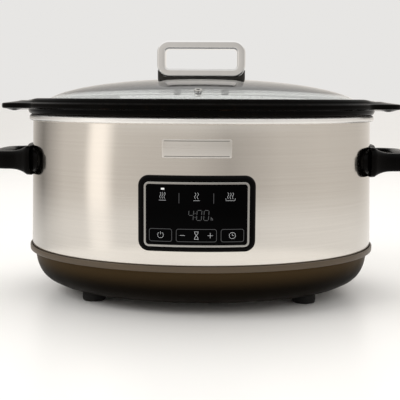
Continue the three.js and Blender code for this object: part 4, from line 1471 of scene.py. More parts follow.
def pan_screw(head: float, tall: float, shank: float, length: float) -> bmesh.types.BMesh:
    """A pan-head screw that points up, with a cross recess in its head.

    Args:
        head: the head's radius.
        tall: the head's height, below z 0.
        shank: the shank's radius.
        length: the shank's length, above z 0.

    Returns:
        The screw about the vertical axis.
    """
    body = turned([
        (0, -tall, 0), (head * 0.62, -tall, 0.3), (head, -tall * 0.4, head * 0.22), (head, 0, 0.15),
        (shank, 0, 0), (shank, length - 1.0, 0.2), (shank * 0.4, length, 0.2), (0, length, 0),
    ], steps=36, soft_steps=4)
    arm = head * 0.66
    cross = []
    for turn in (0.0, 90.0):
        blade = plate(2.0 * arm, head * 0.3, 0.02, tall, 0.0, slices=1)
        cross.append(rotated(moved(rotated(blade, 90.0, "X"), z=-tall * 1.42), turn, "Z"))
    first, second = cross
    return put_together(put_together(body, first, Way.CUT), second, Way.CUT)


@dataclass
class HeatingWell:
    """The metal well that the pot stands in."""

    floor: float = 50.0
    sheet: float = 1.2

    def well(self) -> bmesh.types.BMesh:
        """The drawn well: dished floor ring, rounded corner, tapered side and flange.

        Returns:
            The closed form.
        """
        t = self.sheet
        return turned([
            (0, self.floor, 0), (60.0, self.floor, 0.8), (62.0, self.floor + 1.0, 0.8),
            (88.0, self.floor + 1.0, 0.8), (90.0, self.floor, 0.8), (143.0, self.floor, 5.0),
            (156.4, self.floor + 7.0, 6.0), (158.8, 68.0, 3.0), (170.3, 180.0, 2.0),
            (171.6, 188.4, 1.2), (181.3, 188.4, 0.2), (181.3, 189.55, 0.2), (170.6, 189.55, 1.5),
            (169.2, 180.0, 2.0), (157.6, 68.0, 3.0), (155.4, self.floor + 8.0, 6.0),
            (142.6, self.floor + t, 5.0), (90.0, self.floor + t, 0.8), (88.0, self.floor + t + 1.0, 0.8),
            (62.0, self.floor + t + 1.0, 0.8), (60.0, self.floor + t, 0.8), (0, self.floor + t, 0),
        ], BODY_OVAL, steps=192, soft_steps=5)

    def build(self, shop: Workshop) -> None:
        """Makes the well."""
        shop.piece("heating_well", self.well(), LINER_SHEET, Body.HOUSING, ["heating_liner"])


@dataclass
class SideHandle:
    """A carrying handle: a pad that follows the wall and a bowed grip that flares into it."""

    height: float = 143.5
    root: float = 176.0
    reach: float = 226.0
    half: float = 52.0
    tall: float = 19.0
    thick: float = 15.0
    bend: float = 16.5
    pad_half: float = 57.0
    pad_tall: float = 32.0
    proud: float = 5.5

    def pad(self) -> bmesh.types.BMesh:
        """The pad: long, rounded to a blunt point at each end, crowned at its edge.

        Returns:
            The closed form.
        """
        bm = soft_section(2.0 * self.pad_half, self.pad_tall, 0.72, steps=96)
        bmesh.ops.contextual_create(bm, geom=bm.edges[:])
        rotated(bm, 90.0, "X")
        rotated(bm, 90.0, "Z")
        raise_face(bm, Vector((self.proud * MM, 0.0, 0.0)))
        soften_rim(bm, Vector((1.0, 0.0, 0.0)), 2.8, 5)
        cut_strips(bm, Vector((0.0, 1.0, 0.0)), 2.0 * self.pad_half, 28)
        moved(bm, x=0.3, z=self.height)
        return WALL.wrap_end(bm)

    def grip_stations(self) -> list[Matrix]:
        """Where the grip's section stands, from the near end of the pad round to the far end.

        Returns:
            A matrix for each station.
        """
        line = self.half - self.thick / 2.0
        outer = self.reach - self.thick / 2.0
        inner_x, inner_y = outer - self.bend, line - self.bend
        straight = [(self.root + (inner_x - self.root) * (i / 12.0) ** 1.3, -line, 0.0) for i in range(12)]
        corner = [
            (inner_x + self.bend * math.sin(turn), -inner_y - self.bend * math.cos(turn), turn)
            for turn in (math.pi / 2.0 * i / 12.0 for i in range(13))
        ]
        near = straight + corner + [(outer, y, math.pi / 2.0) for y in (-inner_y * 0.6, -inner_y * 0.25)]
        far = [(x, -y, math.pi - turn) for x, y, turn in reversed(near)]
        return [self.station(x, y, turn) for x, y, turn in near + far]

    def station(self, x: float, y: float, turn: float) -> Matrix:
        """One place of the section, wider where the grip meets the pad.

        Args:
            x: distance from the middle.
            y: distance along the handle.
            turn: the direction of the grip there, from +X towards +Y.

        Returns:
            The section's matrix: its X lies across the grip and its Y is up.
        """
        flare = min(1.0, max(0.0, 1.0 - (x - 180.0) / 20.0)) ** 2.4
        wide, high = 1.0 + 1.1 * flare, 1.0 + 0.62 * flare
        place = Matrix.Translation(Vector((x, y, self.height)) * MM)
        stand = Matrix.Rotation(turn - math.pi / 2.0, 4, "Z") @ Matrix.Rotation(math.pi / 2.0, 4, "X")
        return place @ stand @ Matrix.Diagonal((wide, high, 1.0, 1.0))

    def grip(self) -> bmesh.types.BMesh:
        """The bowed bar with soft corners."""
        return swept(soft_section(self.thick, self.tall, 0.6, steps=40), self.grip_stations())

    def right(self) -> bmesh.types.BMesh:
        """The right-hand handle, pad and grip as one moulding."""
        return put_together(self.pad(), self.grip(), Way.JOIN)

    def build(self, shop: Workshop) -> None:
        """Makes both handles.

        Args:
            shop: where pieces are made.
        """
        shop.piece("carry_handle_right", self.right(), HANDLE_BLACK, Body.HOUSING, ["side_handle_right"])
        left = mirrored(self.right(), Vector((1.0, 0.0, 0.0)))
        shop.piece("carry_handle_left", left, HANDLE_BLACK, Body.HOUSING, ["side_handle_left"])


# ------------------------------------------------------------------------------ panel


Stroke = Sequence[Flat]


@dataclass(frozen=True)
class Marks:
    """Thin lit strokes on the touch glass, drawn on X and Z from the panel's middle."""

    strokes: Sequence[Stroke]
    width: float = 0.5

    def form(self, middle: float, out: float) -> bmesh.types.BMesh:
        """Lays the strokes on the glass.

        Args:
            middle: the height of the panel's middle.
            out: how far in front of the wall they lie.

        Returns:
            Low ribs wrapped to the glass.
        """
        curve = bpy.data.curves.new("work_strokes", "CURVE")
        curve.dimensions = "3D"
        curve.bevel_depth = self.width / 2.0 * MM
        curve.bevel_resolution = 1
        curve.use_fill_caps = True
        for stroke in self.strokes:
            closed = len(stroke) > 2 and stroke[0] == stroke[-1]
            points = finer(list(stroke))
            points = points[:-1] if closed else points
            spline = curve.splines.new("POLY")
            spline.points.add(len(points) - 1)
            spline.use_cyclic_u = closed
            for point, (x, z) in zip(spline.points, points):
                point.co = (x * MM, 0.0, z * MM, 1.0)
        holder = bpy.data.objects.new("work_strokes", curve)
        bpy.context.scene.collection.objects.link(holder)
        reading = bpy.context.evaluated_depsgraph_get()
        bm = bmesh.new()
        bm.from_mesh(bpy.data.meshes.new_from_object(holder.evaluated_get(reading)))
        bpy.data.objects.remove(holder)
        bpy.data.curves.remove(curve)
        bmesh.ops.scale(bm, vec=(1.0, 0.3, 1.0), verts=bm.verts[:])
        moved(bm, y=-out, z=middle)
        return WALL.wrap_front(bm)


def finer(stroke: Stroke, longest: float = 2.0) -> list[Flat]:
    """The same stroke with no piece longer than `longest`, so that it can follow a curved surface.

    Args:
        stroke: the stroke.
        longest: in millimetres.

    Returns:
        The points.
    """
    points = [stroke[0]]
    for (x0, z0), (x1, z1) in zip(stroke, stroke[1:]):
        count = max(1, math.ceil(math.hypot(x1 - x0, z1 - z0) / longest))
        points += [(x0 + (x1 - x0) * i / count, z0 + (z1 - z0) * i / count) for i in range(1, count + 1)]
    return points


def arc(x: float, z: float, radius: float, start: float, end: float, steps: int = 16) -> list[Flat]:
    """Points on an arc; the angles are in degrees, anticlockwise from the right."""
    turns = (math.radians(start + (end - start) * i / steps) for i in range(steps + 1))
    return [(x + radius * math.cos(turn), z + radius * math.sin(turn)) for turn in turns]


def key_outline(x0: float, x1: float, z0: float, z1: float, corner: float = 2.0) -> list[Flat]:
    """A key's outline: a rectangle with round corners, closed on itself.

    Args:
        x0: left side.
        x1: right side.
        z0: foot.
        z1: top.
        corner: the corners' radius.

    Returns:
        The points.
    """
    points = (
        arc(x1 - corner, z1 - corner, corner, 0, 90, 5) + arc(x0 + corner, z1 - corner, corner, 90, 180, 5)
        + arc(x0 + corner, z0 + corner, corner, 180, 270, 5) + arc(x1 - corner, z0 + corner, corner, 270, 360, 5)
    )
    return points + points[:1]


def steam(x: float, low: float, high: float) -> list[Flat]:
    """One wavy line of rising heat.

    Args:
        x: its place along X.
        low: its foot.
        high: its top.

    Returns:
        The points.
    """
    steps = 14
    return [
        (x + 0.55 * math.sin(FULL_TURN * 1.15 * i / steps + 2.6), low + (high - low) * i / steps)
        for i in range(steps + 1)
    ]


class Digit(Enum):
    """Which of the seven bars each figure lights: top, upper right and left, middle, lower, foot."""

    FOUR = "bcfg"
    NOUGHT = "abcdef"


@dataclass(frozen=True)
class Display:
    """The seven-bar time display."""

    left: float = -7.2
    middle: float = -0.9
    tall: float = 9.4
    wide: float = 4.4
    pitch: float = 6.6
    lean: float = 0.07

    def bars(self, left: float, digit: Digit) -> list[Stroke]:
        """The strokes of one figure.

        Args:
            left: the figure's left side.
            digit: which figure.

        Returns:
            The strokes.
        """
        low, high = self.middle - self.tall / 2.0, self.middle + self.tall / 2.0
        right, gap = left + self.wide, 0.55
        table = {
            "a": ((left + gap, high), (right - gap, high)),
            "b": ((right, high - gap), (right, self.middle + gap)),
            "c": ((right, self.middle - gap), (right, low + gap)),
            "d": ((left + gap, low), (right - gap, low)),
            "e": ((left, self.middle - gap), (left, low + gap)),
            "f": ((left, high - gap), (left, self.middle + gap)),
            "g": ((left + gap, self.middle), (right - gap, self.middle)),
        }
        return [[self.leaned(point) for point in table[bar]] for bar in digit.value]

    def leaned(self, point: Flat) -> Flat:
        """A point of the figure, leaned a little to the right."""
        return point[0] + (point[1] - self.middle) * self.lean, point[1]

    def strokes(self) -> list[Stroke]:
        """The time 4:00 and the hour mark after it.

        Returns:
            The strokes.
        """
        colon = self.left + self.wide + 1.6
        start = colon + 1.6
        dots = [[(colon, z - 0.45), (colon, z + 0.45)] for z in (self.middle - 1.8, self.middle + 1.8)]
        after = start + 2.0 * self.pitch
        unit = [[(after, self.middle - 4.6), (after, self.middle - 1.6)],
                [(after, self.middle - 2.9), (after + 1.3, self.middle - 2.9)],
                [(after + 1.3, self.middle - 2.9), (after + 1.3, self.middle - 4.6)]]
        return (self.bars(self.left, Digit.FOUR) + dots + self.bars(start, Digit.NOUGHT)
                + self.bars(start + self.pitch, Digit.NOUGHT) + unit)


@dataclass
class TouchPanel:
    """The control panel: bezel, bright trim line, touch glass and its lit marks."""

    middle: float = 102.0
    drop: float = 0.5  # the trim and glass sit this much lower than the bezel's middle
    bezel_size: Flat = (110.0, 71.3)
    trim_size: Flat = (98.6, 60.6)
    trim_band: float = 2.0
    glass_size: Flat = (94.0, 56.0)
    proud: float = 4.5

    def bezel(self) -> bmesh.types.BMesh:
        """The bezel, crowned at its edge and sunk for the trim and the glass.

        Returns:
            The closed form.
        """
        body = moved(plate(*self.bezel_size, 10.0, self.proud - 0.3, 3.2, slices=40, soft_steps=7), y=-0.3)
        width, height = (size + 0.6 for size in self.trim_size)
        well = plate(width, height, 5.0, 4.0, 0.0, slices=1)
        moved(well, y=-(self.proud - 1.8), z=-self.drop)
        body = put_together(body, well, Way.CUT)
        cut_strips(body, Vector((1.0, 0.0, 0.0)), self.bezel_size[0], 40)
        return WALL.wrap_front(moved(body, z=self.middle))

    def trim(self) -> bmesh.types.BMesh:
        """The bright line: a flat ring with softened edges.

        Returns:
            The closed form.
        """
        width, height = self.trim_size
        band = self.trim_band
        ring = plate(width, height, 4.7, 1.9, 0.5, slices=1)
        core = moved(plate(width - 2 * band, height - 2 * band, 2.7, 6.0, 0.0, slices=1), y=2.0)
        ring = put_together(ring, core, Way.CUT)
        cut_strips(ring, Vector((1.0, 0.0, 0.0)), width, 40)
        return WALL.wrap_front(moved(ring, y=-(self.proud - 1.5), z=self.middle - self.drop))

    def glass(self) -> bmesh.types.BMesh:
        """The window, flush with the bezel."""
        form = plate(*self.glass_size, 2.4, 1.5, 0.25, slices=40, soft_steps=2)
        return WALL.wrap_front(moved(form, y=-(self.proud - 1.5), z=self.middle - self.drop))

    def marks(self) -> dict[str, tuple[Marks, Finish]]:
        """Every lit mark by piece name, with what it wears.

        Returns:
            Marks and finish by piece name.
        """
        heat = []
        for x, lines in ((-31.6, (-2.0, 0.0, 2.0)), (0.0, (-1.2, 1.2)), (31.4, (-2.2, 0.0, 2.2))):
            heat += [steam(x + line, 14.4, 20.2) for line in lines]
        heat += [[(-34.9, 12.8), (-28.3, 12.8)], [(-2.9, 12.8), (2.9, 12.8)],
                 [(27.0, 14.9), (27.4, 12.8), (35.4, 12.8), (35.8, 14.9)]]
        level = -19.7
        glass = [[(-2.1, -16.2), (2.1, -16.2)], [(-2.1, -23.2), (2.1, -23.2)],
                 [(-1.5, -16.4), (-1.5, -17.6), (1.5, -21.8), (1.5, -23.0)],
                 [(1.5, -16.4), (1.5, -17.6), (-1.5, -21.8), (-1.5, -23.0)]]
        keys = glass + [[(-15.3, level), (-10.7, level)], [(10.5, level), (15.3, level)],
                        [(12.9, level - 2.4), (12.9, level + 2.4)]]
        power = [arc(-33.4, level, 2.7, 120, 420), [(-33.4, level + 0.6), (-33.4, level + 3.3)]]
        face = arc(33.4, level, 2.9, 0, 345, 23)
        clock = [face + face[:1],
                 [(33.4, level + 1.7), (33.4, level), (34.8, level)]]
        outlines = [key_outline(-44.0, -22.9, -25.6, -13.9), key_outline(-18.7, 18.7, -25.6, -13.9),
                    key_outline(22.9, 44.0, -25.6, -13.9)]
        rules = [[(-16.2, 10.2), (-16.2, 19.6)], [(15.9, 10.2), (15.9, 19.6)]]
        return {
            "mark_lit_bar": (Marks([[(-33.0, 23.4), (-29.9, 23.4)]], 1.8), BRIGHT_MARK),
            "mark_heat_levels": (Marks(heat, 0.34), SOFT_MARK),
            "mark_time": (Marks(Display().strokes(), 0.6), DIM_MARK),
            "mark_keys": (Marks(keys + power + clock, 0.36), SOFT_MARK),
            "mark_key_outlines": (Marks(outlines, 0.4), DIM_MARK),
            "mark_rules": (Marks(rules, 0.42), DIM_MARK),
        }

    def build(self, shop: Workshop) -> None:
        """Makes the panel's pieces.

        Args:
            shop: where pieces are made.
        """
        shop.piece("panel_frame", self.bezel(), GLOSS_BLACK, Body.HOUSING, ["panel_bezel"])
        shop.piece("panel_line", self.trim(), TRIM_STEEL, Body.HOUSING, ["panel_trim"])
        shop.piece("panel_window", self.glass(), PANEL_BLACK, Body.HOUSING, ["touch_glass"])
        for name, (marks, finish) in self.marks().items():
            shop.piece(name, marks.form(self.middle, self.proud), finish, Body.HOUSING)


@dataclass
class Badge:
    """The blank metal plate above the panel, with a printed line near each long edge."""

    height: float = 162.3
    size: Flat = (65.0, 17.4)
    thick: float = 1.2

    def build(self, shop: Workshop) -> None:
        """Makes the plate and its two lines.

        Args:
            shop: where pieces are made.
        """
        form = moved(plate(*self.size, 1.8, self.thick, 0.5, slices=24), y=-0.3, z=self.height)
        shop.piece("badge_plate", WALL.wrap_front(form), BADGE_STEEL, Body.HOUSING, ["name_badge"])
        edge = self.size[1] / 2.0 - 1.6
        lines = Marks([[(-30.2, z), (30.2, z)] for z in (edge, -edge)], 0.6)
        shop.piece("badge_lines", lines.form(self.height, self.thick + 0.3), BLACK_PRINT, Body.HOUSING)


# ------------------------------------------------------------------------------ pot and lid


@dataclass
class Pot:
    """The lift-out stoneware pot with its rolled rim and two ears."""

    rest: float = 191.6
    top: float = 208.0
    ledge: float = 199.2
    ear_reach: float = 24.2
    ear_half: float = 55.0

    def profile(self) -> list[Corner]:
        """The pot's section from the middle of its underside round to the middle of its floor.

        Returns:
            The corners.
        """
        return [
            (0, 57.0, 0), (119.0, 57.0, 1.0), (121.5, 55.5, 0.8), (131.5, 55.5, 1.5), (142.0, 59.5, 5.0),
            (151.0, 67.0, 6.0), (154.2, 80.0, 5.0), (163.2, self.rest, 1.5), (184.6, self.rest, 1.2),
            (186.2, 194.0, 1.4), (186.6, 197.2, 1.0), (188.2, 197.45, 0.0), (189.2, 197.5, 0.0),
            (190.2, 197.6, 0.0), (190.9, 198.2, 0.5), (191.3, 200.3, 0.8), (190.6, 202.6, 0.8),
            (189.0, 203.2, 0.3), (187.8, 203.6, 0.9), (187.2, 205.6, 0.9), (185.4, 207.7, 1.1),
            (182.0, self.top, 1.5), (178.4, 207.6, 1.6), (175.2, 205.4, 1.6), (173.9, self.ledge, 0.7),
            (163.4, self.ledge, 1.1), (159.6, 196.4, 2.0), (157.6, 188.0, 3.0), (147.6, 84.0, 6.0),
            (142.5, 70.5, 6.0), (131.0, 65.0, 5.0), (0, 64.5, 0),
        ]

    def ear_share(self, half: float, z: float) -> float:
        """How much of the ear's reach a point of the rim takes, from its place in the section.

        Args:
            half: the point's half length.
            z: its height.

        Returns:
            A share from 0 to 1.
        """
        if half < 186.9 or not 196.9 < z < 206.6:
            return 0.0
        return min(1.0, (half - 186.9) / (190.2 - 186.9))

    def pull_ears(self, bm: bmesh.types.BMesh) -> None:
        """Draws the rim's flange out into an ear at either end, with a finger ridge under it.

        Args:
            bm: the form, changed in place.
        """
        for vert in bm.verts:
            x, y, z = vert.co / MM
            half = math.hypot(x, y)
            if half < 150.0:
                continue
            across = abs(BODY_OVAL.width(half) / half * y)
            shape = ease(1.0 - (across - self.ear_half + 16.0) / 27.0)
            if shape <= 0.0 or abs(x) < 90.0:
                continue
            if half > 174.0 and z > 203.9:
                vert.co.z -= 1.5 * shape * (z - 203.9) / (self.top - 203.9) * MM
            share = self.ear_share(half, z)
            if share <= 0.0:
                continue
            bow = 1.0 - 0.1 * (across / self.ear_half) ** 2
            vert.co.x += math.copysign(self.ear_reach * share * shape * bow * MM, x)
            if z > 202.5:
                vert.co.z += 2.2 * (1.0 - share) * min(1.0, share / 0.25) * shape * MM
            elif z < 200.0:
                ridge = math.exp(-((share - 0.55) / 0.3) ** 2) * ease((48.0 - across) / 12.0)
                vert.co.z -= 2.6 * ridge * shape * MM

    def form(self) -> bmesh.types.BMesh:
        """The whole pot.

        Returns:
            The closed form.
        """
        bm = drawn_profile(self.profile(), 5)
        self.split_flange(bm)
        bmesh.ops.spin(
            bm, geom=bm.verts[:] + bm.edges[:], cent=(0, 0, 0), axis=(0, 0, 1), dvec=(0, 0, 0),
            angle=FULL_TURN, steps=320, use_merge=True, use_normal_flip=False, use_duplicate=False,
        )
        bmesh.ops.remove_doubles(bm, verts=bm.verts[:], dist=1e-7)
        bmesh.ops.recalc_face_normals(bm, faces=bm.faces[:])
        self.pull_ears(bm)
        press_ears_aside(bm)
        for face in bm.faces:
            middle = face.calc_center_median() / MM
            if middle.z < 56.0:
                face.material_index = 1
        return bm

    @staticmethod
    def split_flange(bm: bmesh.types.BMesh) -> None:
        """Adds points along the flange, so that the ears have enough to bend with.

        Args:
            bm: the form, changed in place.
        """
        for edge in bm.edges[:]:
            middle = (edge.verts[0].co + edge.verts[1].co) / 2.0 / MM
            if middle.x > 186.5 and 196.9 < middle.z < 206.6 and edge.calc_length() > 0.4 * MM:
                bmesh.ops.subdivide_edges(bm, edges=[edge], cuts=2)

    def build(self, shop: Workshop) -> None:
        """Makes the pot."""
        shop.piece("glazed_pot", self.form(), BLACK_GLAZE, Body.POT, ["stoneware_pot"], second=BARE_CLAY)


def ease(share: float) -> float:
    """A soft step from 0 to 1."""
    share = min(1.0, max(0.0, share))
    return share * share * (3.0 - 2.0 * share)


def press_ears_aside(bm: bmesh.types.BMesh) -> None:
    """Presses the pot's round into its oval without narrowing the ears that stand out of it.

    Args:
        bm: the form, changed in place.
    """
    for vert in bm.verts:
        half = math.hypot(vert.co.x, vert.co.y) / MM
        if half > 1e-4:
            held = min(half, 191.5)
            vert.co.y *= BODY_OVAL.width(held) / held


@dataclass
class Lid:
    """The glass dome, its seal, the steam vent and the chrome handle."""

    dome_half: float = 170.0
    dome_base: float = 199.5
    dome_rise: float = 30.0
    glass: float = 3.8
    edge: float = 166.5
    vent_y: float = -108.0
    screw_x: float = 26.0
    knob: tuple[float, float, float] = (96.0, 22.0, 38.7)
    knob_base: float = 230.8
    knob_bar: float = 9.0
    knob_bend: float = 8.5
    cradle_lip: float = 8.0

    def arc(self, edge: float, inside: float, steps: int = 26) -> list[Corner]:
        """The dome's arc from its top to its edge, `inside` under the outside.

        Args:
            edge: the half length it ends at.
            inside: how deep in the glass.
            steps: how many steps.

        Returns:
            The corners.
        """
        half, rise = self.dome_half - inside, self.dome_rise - inside
        last = math.asin(edge / half)
        turns = [last * i / steps for i in range(steps + 1)]
        return [(half * math.sin(turn), self.dome_base + rise * math.cos(turn), 0.0) for turn in turns]

    def height(self, x: float, y: float) -> float:
        """The height of the dome's outside over a point."""
        across = y / DOME_OVAL.ratio
        return self.dome_base + self.dome_rise * math.sqrt(1.0 - (x * x + across * across) / self.dome_half ** 2)

    def dome(self) -> bmesh.types.BMesh:
        """The glass with its ground edge and its three holes.

        Returns:
            The closed form.
        """
        outside, inside = self.arc(self.edge, 0.0), self.arc(self.edge - 3.4, self.glass)[::-1]
        outside[-1] = (*outside[-1][:2], 0.9)
        inside[0] = (*inside[0][:2], 0.9)
        form = turned(outside + inside, DOME_OVAL, steps=256, soft_steps=3)
        holes = [bar(Vector((x, 0, 205)), Vector((x, 0, 240)), 3.0, 20) for x in (-self.screw_x, self.screw_x)]
        point, normal = self.vent_frame()
        holes.append(bar(point - normal * 10.0, point + normal * 10.0, 3.4, 24))
        return put_together(form, gathered(holes), Way.CUT)

    def vent_frame(self) -> tuple[Vector, Vector]:
        """The middle of the vent on the glass and the glass's normal there.

        Returns:
            The point, in millimetres, and the normal.
        """
        half_y = self.dome_half * DOME_OVAL.ratio
        rise = self.dome_rise * math.sqrt(1.0 - (self.vent_y / half_y) ** 2)
        point = Vector((0.0, self.vent_y, self.dome_base + rise))
        normal = Vector((0.0, self.vent_y / half_y ** 2, rise / self.dome_rise ** 2)).normalized()
        return point, normal

    def eyelet(self) -> bmesh.types.BMesh:
        """The rolled steel eyelet of the steam vent.

        Returns:
            The closed form.
        """
        form = turned([
            (1.6, -5.6, 0.2), (4.3, -5.6, 0.4), (4.3, -4.8, 0.3), (3.1, -4.6, 0.2), (3.1, 0.2, 0.1),
            (4.4, 0.2, 0.3), (4.1, 1.1, 0.6), (1.6, 1.1, 0.5),
        ], steps=48, soft_steps=5)
        point, normal = self.vent_frame()
        turn = normal.to_track_quat("Z", "Y").to_matrix().to_4x4()
        bmesh.ops.transform(form, matrix=Matrix.Translation(point * MM) @ turn, verts=form.verts[:])
        return form

    def seal(self) -> bmesh.types.BMesh:
        """The soft ring round the glass's edge.

        Returns:
            The closed form.
        """
        return turned([
            (162.9, 199.5, 0.5), (169.3, 199.5, 0.6), (169.9, 200.8, 0.5), (169.9, 206.3, 0.8),
            (168.4, 207.6, 0.9), (165.2, 207.8, 0.4), (165.2, 207.0, 0.2), (166.9, 205.9, 0.2),
            (166.9, 204.9, 0.2), (162.9, 203.6, 0.4),
        ], SEAL_OVAL, steps=224, soft_steps=4)

    def handle(self) -> bmesh.types.BMesh:
        """The chrome loop: a closed bar round a finger gap.

        Returns:
            The closed form.
        """
        width, depth, height = self.knob
        bar_now = self.knob_bar
        half_x, half_z = (width - bar_now) / 2.0 - 0.6, (height - bar_now) / 2.0
        bend = self.knob_bend
        stations = []
        centres = ((half_x - bend, half_z - bend, 0), (-(half_x - bend), half_z - bend, 90),
                   (-(half_x - bend), -(half_z - bend), 180), (half_x - bend, -(half_z - bend), 270))
        middle = self.knob_base + height / 2.0
        for x, z, start in centres:
            for step in range(11):
                turn = math.radians(start + 9.0 * step)
                place = Vector((x + bend * math.cos(turn), 0.0, middle + z + bend * math.sin(turn)))
                stations.append(Matrix.Translation(place * MM) @ Matrix.Rotation(-turn, 4, "Y"))
        return swept(soft_section(bar_now, depth, 0.3, steps=56), stations, closed=True)

    def cushion(self) -> bmesh.types.BMesh:
        """The dark cradle between the handle and the glass: it hugs the loop's lower corners.

        Returns:
            The closed form.
        """
        width, depth, height = self.knob
        slab = plate(width - 1.6, depth - 1.0, 9.0, 8.0 + self.cradle_lip, 0.6, slices=20, soft_steps=3)
        rotated(slab, -90.0, "X")
        moved(slab, z=self.knob_base - 8.0)
        seat = moved(plate(width - 0.8, height, 12.4, 40.0, 0.0, slices=1), y=20.0)
        slab = put_together(slab, moved(seat, z=self.knob_base + height / 2.0 + 0.1), Way.CUT)
        for vert in slab.verts:
            x, y, z = vert.co / MM
            if z < self.knob_base - 4.0:
                vert.co.z = (self.height(x, y) + 0.3) * MM
        return slab

    def build(self, shop: Workshop) -> None:
        """Makes the lid's pieces.

        Args:
            shop: where pieces are made.
        """
        shop.piece("glass_dome", self.dome(), LID_GLASS, Body.LID, ["lid_glass"])
        shop.piece("edge_seal", self.seal(), SILICONE, Body.LID, ["lid_seal"])
        shop.piece("steam_vent", self.eyelet(), TRIM_STEEL, Body.LID, ["vent_eyelet"])
        shop.piece("loop_handle", self.handle(), CHROME, Body.LID, ["lid_handle"])
        shop.piece("handle_cushion", self.cushion(), SILICONE, Body.LID, ["handle_seal"])
        for word, x in (("left", -self.screw_x), ("right", self.screw_x)):
            low = self.dome_base + self.dome_rise - self.glass - 1.4
            form = moved(pan_screw(4.4, 2.4, 1.9, 12.0), x=x, z=low)
            shop.piece(f"handle_screw_lid_{word}", form, ZINC_PLATE, Body.LID, [f"lid_screw_{word}"])


# ------------------------------------------------------------------------------ what stays inside


@dataclass
class InnerParts:
    """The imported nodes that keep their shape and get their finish."""

    finishes: dict[str, Finish] = field(default_factory=lambda: {
        "band_heater": HEATER_CLOTH,
        "heater_strap": ZINC_PLATE,
        "heat_shield": LINER_SHEET,
        "tie_": ZINC_PLATE,
        "panel_tray": SATIN_BLACK,
        "panel_screw": ZINC_PLATE,
        "handle_screw": ZINC_PLATE,
        "board_screw": ZINC_PLATE,
        "control_board": CIRCUIT_BOARD,
        "power_board": CIRCUIT_BOARD,
        "display_module": COMPONENT,
        "transformer": COMPONENT,
        "relay": COMPONENT,
        "terminal_block": COMPONENT,
        "capacitor": COMPONENT,
        "thermal_fuse": COMPONENT,
        "temperature_sensor": ZINC_PLATE,
        "display_cable": WIRE_JACKET,
        "heater_lead": WIRE_JACKET,
    })

    def build(self, shop: Workshop) -> None:
        """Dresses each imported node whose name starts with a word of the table.

        Args:
            shop: where pieces are made.
        """
        for node in sorted(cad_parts):
            for start, finish in self.finishes.items():
                if node.startswith(start):
                    shop.dress_node(node, finish)
                    LOG.info("%s keeps its shape", node)


# ------------------------------------------------------------------------------ studio


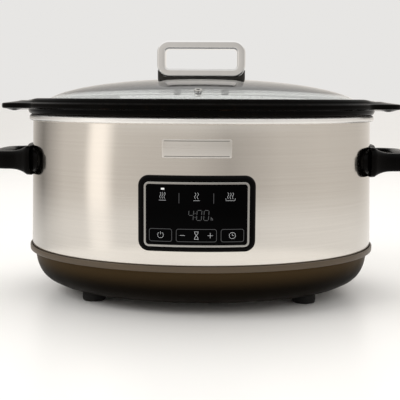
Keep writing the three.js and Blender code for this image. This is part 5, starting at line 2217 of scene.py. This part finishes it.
@dataclass
class Studio:
    """The pale table, the soft light round it and the camera."""

    camera_place: tuple[float, float, float] = (0.0238, -0.8777, 0.209)
    heading: float = 1.61
    pitch: float = -7.29
    roll: float = 0.26
    lens: float = 72.0
    table: float = 0.3
    backdrop: Colour = (0.80, 0.79, 0.775)
    tint: Colour = (1.0, 0.95, 0.89)
    # the studio's grey walls, soft dark flags and one pale strip panel: direction in degrees, brightness
    surround: Sequence[Flat] = (
        (-180.0, 0.9), (-120.0, 0.25), (-90.0, 0.7), (-70.0, 0.75), (-64.0, 1.35), (-56.0, 1.35), (-48.0, 0.7),
        (-5.0, 0.6), (15.0, 0.45), (45.0, 0.65), (75.0, 0.7), (120.0, 0.65), (180.0, 0.9),
    )

    def camera(self) -> None:
        """Stands the camera a little above the cooker's rim, looking slightly down."""
        data = bpy.data.cameras.new("camera")
        data.lens = self.lens
        data.sensor_width = 36.0
        holder = bpy.data.objects.new("camera", data)
        bpy.context.scene.collection.objects.link(holder)
        aim = (
            Matrix.Rotation(math.radians(self.heading), 4, "Z")
            @ Matrix.Rotation(math.radians(90.0 + self.pitch), 4, "X")
            @ Matrix.Rotation(math.radians(self.roll), 4, "Z")
        )
        holder.matrix_world = Matrix.Translation(self.camera_place) @ aim
        bpy.context.scene.camera = holder

    def world(self) -> None:
        """A soft surround: plain to the eye, with a studio's grey walls and panel to the metal."""
        world = bpy.data.worlds.new("studio")
        bpy.context.scene.world = world
        world.use_nodes = True
        graph = Graph(world.node_tree)
        sky = world.node_tree.nodes["Background"]
        parts = graph.add("ShaderNodeSeparateXYZ")
        graph.join(graph.add("ShaderNodeTexCoord").outputs["Generated"], parts.inputs[0])
        turn = graph.sum("ARCTAN2", parts.outputs[0], graph.sum("MULTIPLY", parts.outputs[1], -1.0))
        place = graph.remap(turn, (-math.pi, math.pi), (0.0, 1.0))
        ramp = graph.add("ShaderNodeValToRGB")
        graph.join(place, ramp.inputs[0])
        stops = ramp.color_ramp.elements
        while len(stops) > 1:
            stops.remove(stops[-1])
        for index, (degrees, level) in enumerate(self.surround):
            spot = (degrees + 180.0) / 360.0
            stop = stops[0] if index == 0 else stops.new(spot)
            stop.position = spot
            stop.color = (*(level * part for part in self.tint), 1.0)
        high = graph.remap(parts.outputs[2], (0.27, 0.55), (0.0, 1.0), smooth=True)
        low = graph.remap(parts.outputs[2], (-0.24, -0.08), (0.55, 0.0))
        room = graph.blend(graph.sum("MAXIMUM", high, low), ramp.outputs[0], (1.0, 0.99, 0.97))
        path = graph.add("ShaderNodeLightPath")
        seen = graph.sum("MAXIMUM", path.outputs["Is Camera Ray"], path.outputs["Is Transmission Ray"])
        graph.join(graph.blend(seen, room, self.backdrop), sky.inputs[0])
        sky.inputs[1].default_value = 1.0

    def floor(self) -> None:
        """The floor that the eye sees, and a small disc just under it that reflections see instead."""
        for name, radius, height in (("table_top", self.table, -0.0004), ("far_floor", 30.0, 0.0)):
            bm = bmesh.new()
            bmesh.ops.create_circle(bm, cap_ends=True, segments=96, radius=radius)
            bmesh.ops.translate(bm, verts=bm.verts[:], vec=(0.0, 0.0, height))
            made = bpy.data.objects.new(name, mesh_of(bm, name))
            bpy.context.scene.collection.objects.link(made)
            made.data.materials.append(self.paper())
            seen = name == "far_floor"
            made.visible_camera = made.visible_transmission = seen
            made.visible_glossy = made.visible_diffuse = not seen
            made.visible_shadow = False

    @staticmethod
    def paper() -> bpy.types.Material:
        """The pale matt finish of the table.

        Returns:
            The material.
        """
        found = bpy.data.materials.get("table_white")
        if found:
            return found
        material = bpy.data.materials.new("table_white")
        material.use_nodes = True
        graph = Graph(material.node_tree)
        shader = material.node_tree.nodes["Principled BSDF"]
        cloud = graph.noise(graph.place(), 3.0, 3.0, 0.5)
        graph.join(graph.blend(cloud, (0.86, 0.855, 0.845), (0.9, 0.895, 0.885)), shader.inputs["Base Color"])
        shader.inputs["Roughness"].default_value = 0.32
        return material

    def light(self, name: str, place: Sequence[float], aim: Sequence[float], size: Flat, power: float,
              colour: Colour) -> None:
        """Hangs one soft area light.

        Args:
            name: its name.
            place: where it hangs, in metres.
            aim: the point it faces.
            size: its width and height in metres.
            power: its power in watts.
            colour: its colour.
        """
        data = bpy.data.lights.new(name, "AREA")
        data.shape = "RECTANGLE"
        data.size, data.size_y = size
        data.energy = power
        data.color = colour
        holder = bpy.data.objects.new(name, data)
        bpy.context.scene.collection.objects.link(holder)
        holder.visible_glossy = False
        way = (Vector(aim) - Vector(place)).to_track_quat("-Z", "Y").to_matrix().to_4x4()
        holder.matrix_world = Matrix.Translation(place) @ way

    def build(self, shop: Workshop) -> None:
        """Sets up the whole studio.

        Args:
            shop: not used.
        """
        bpy.context.scene.view_settings.view_transform = "Standard"
        self.camera()
        self.world()
        self.floor()
        middle = (0.0, 0.0, 0.12)
        self.light("key_left", (-1.5, -0.7, 1.3), middle, (1.1, 1.1), 13.0, (1.0, 0.985, 0.96))
        self.light("fill_right", (1.7, -1.2, 0.9), middle, (1.4, 1.2), 5.0, (1.0, 0.96, 0.92))
        self.light("top_soft", (0.1, 0.5, 1.7), middle, (1.6, 1.2), 9.0, (1.0, 0.99, 0.97))


def main() -> None:
    """Builds every part of the cooker and the studio round it, in order."""
    logging.basicConfig(level=logging.INFO, format="%(name)s: %(message)s")
    shop = Workshop()
    parts: Sequence[Studio | Jacket | Base | HeatingWell | SideHandle | TouchPanel | Badge | Pot | Lid
                    | InnerParts] = (
        Studio(), Jacket(), Base(), HeatingWell(), SideHandle(), TouchPanel(), Badge(), Pot(), Lid(),
        InnerParts(),
    )
    for part in parts:
        LOG.info("building %s", type(part).__name__)
        part.build(shop)


if __name__ == "__main__":
    main()
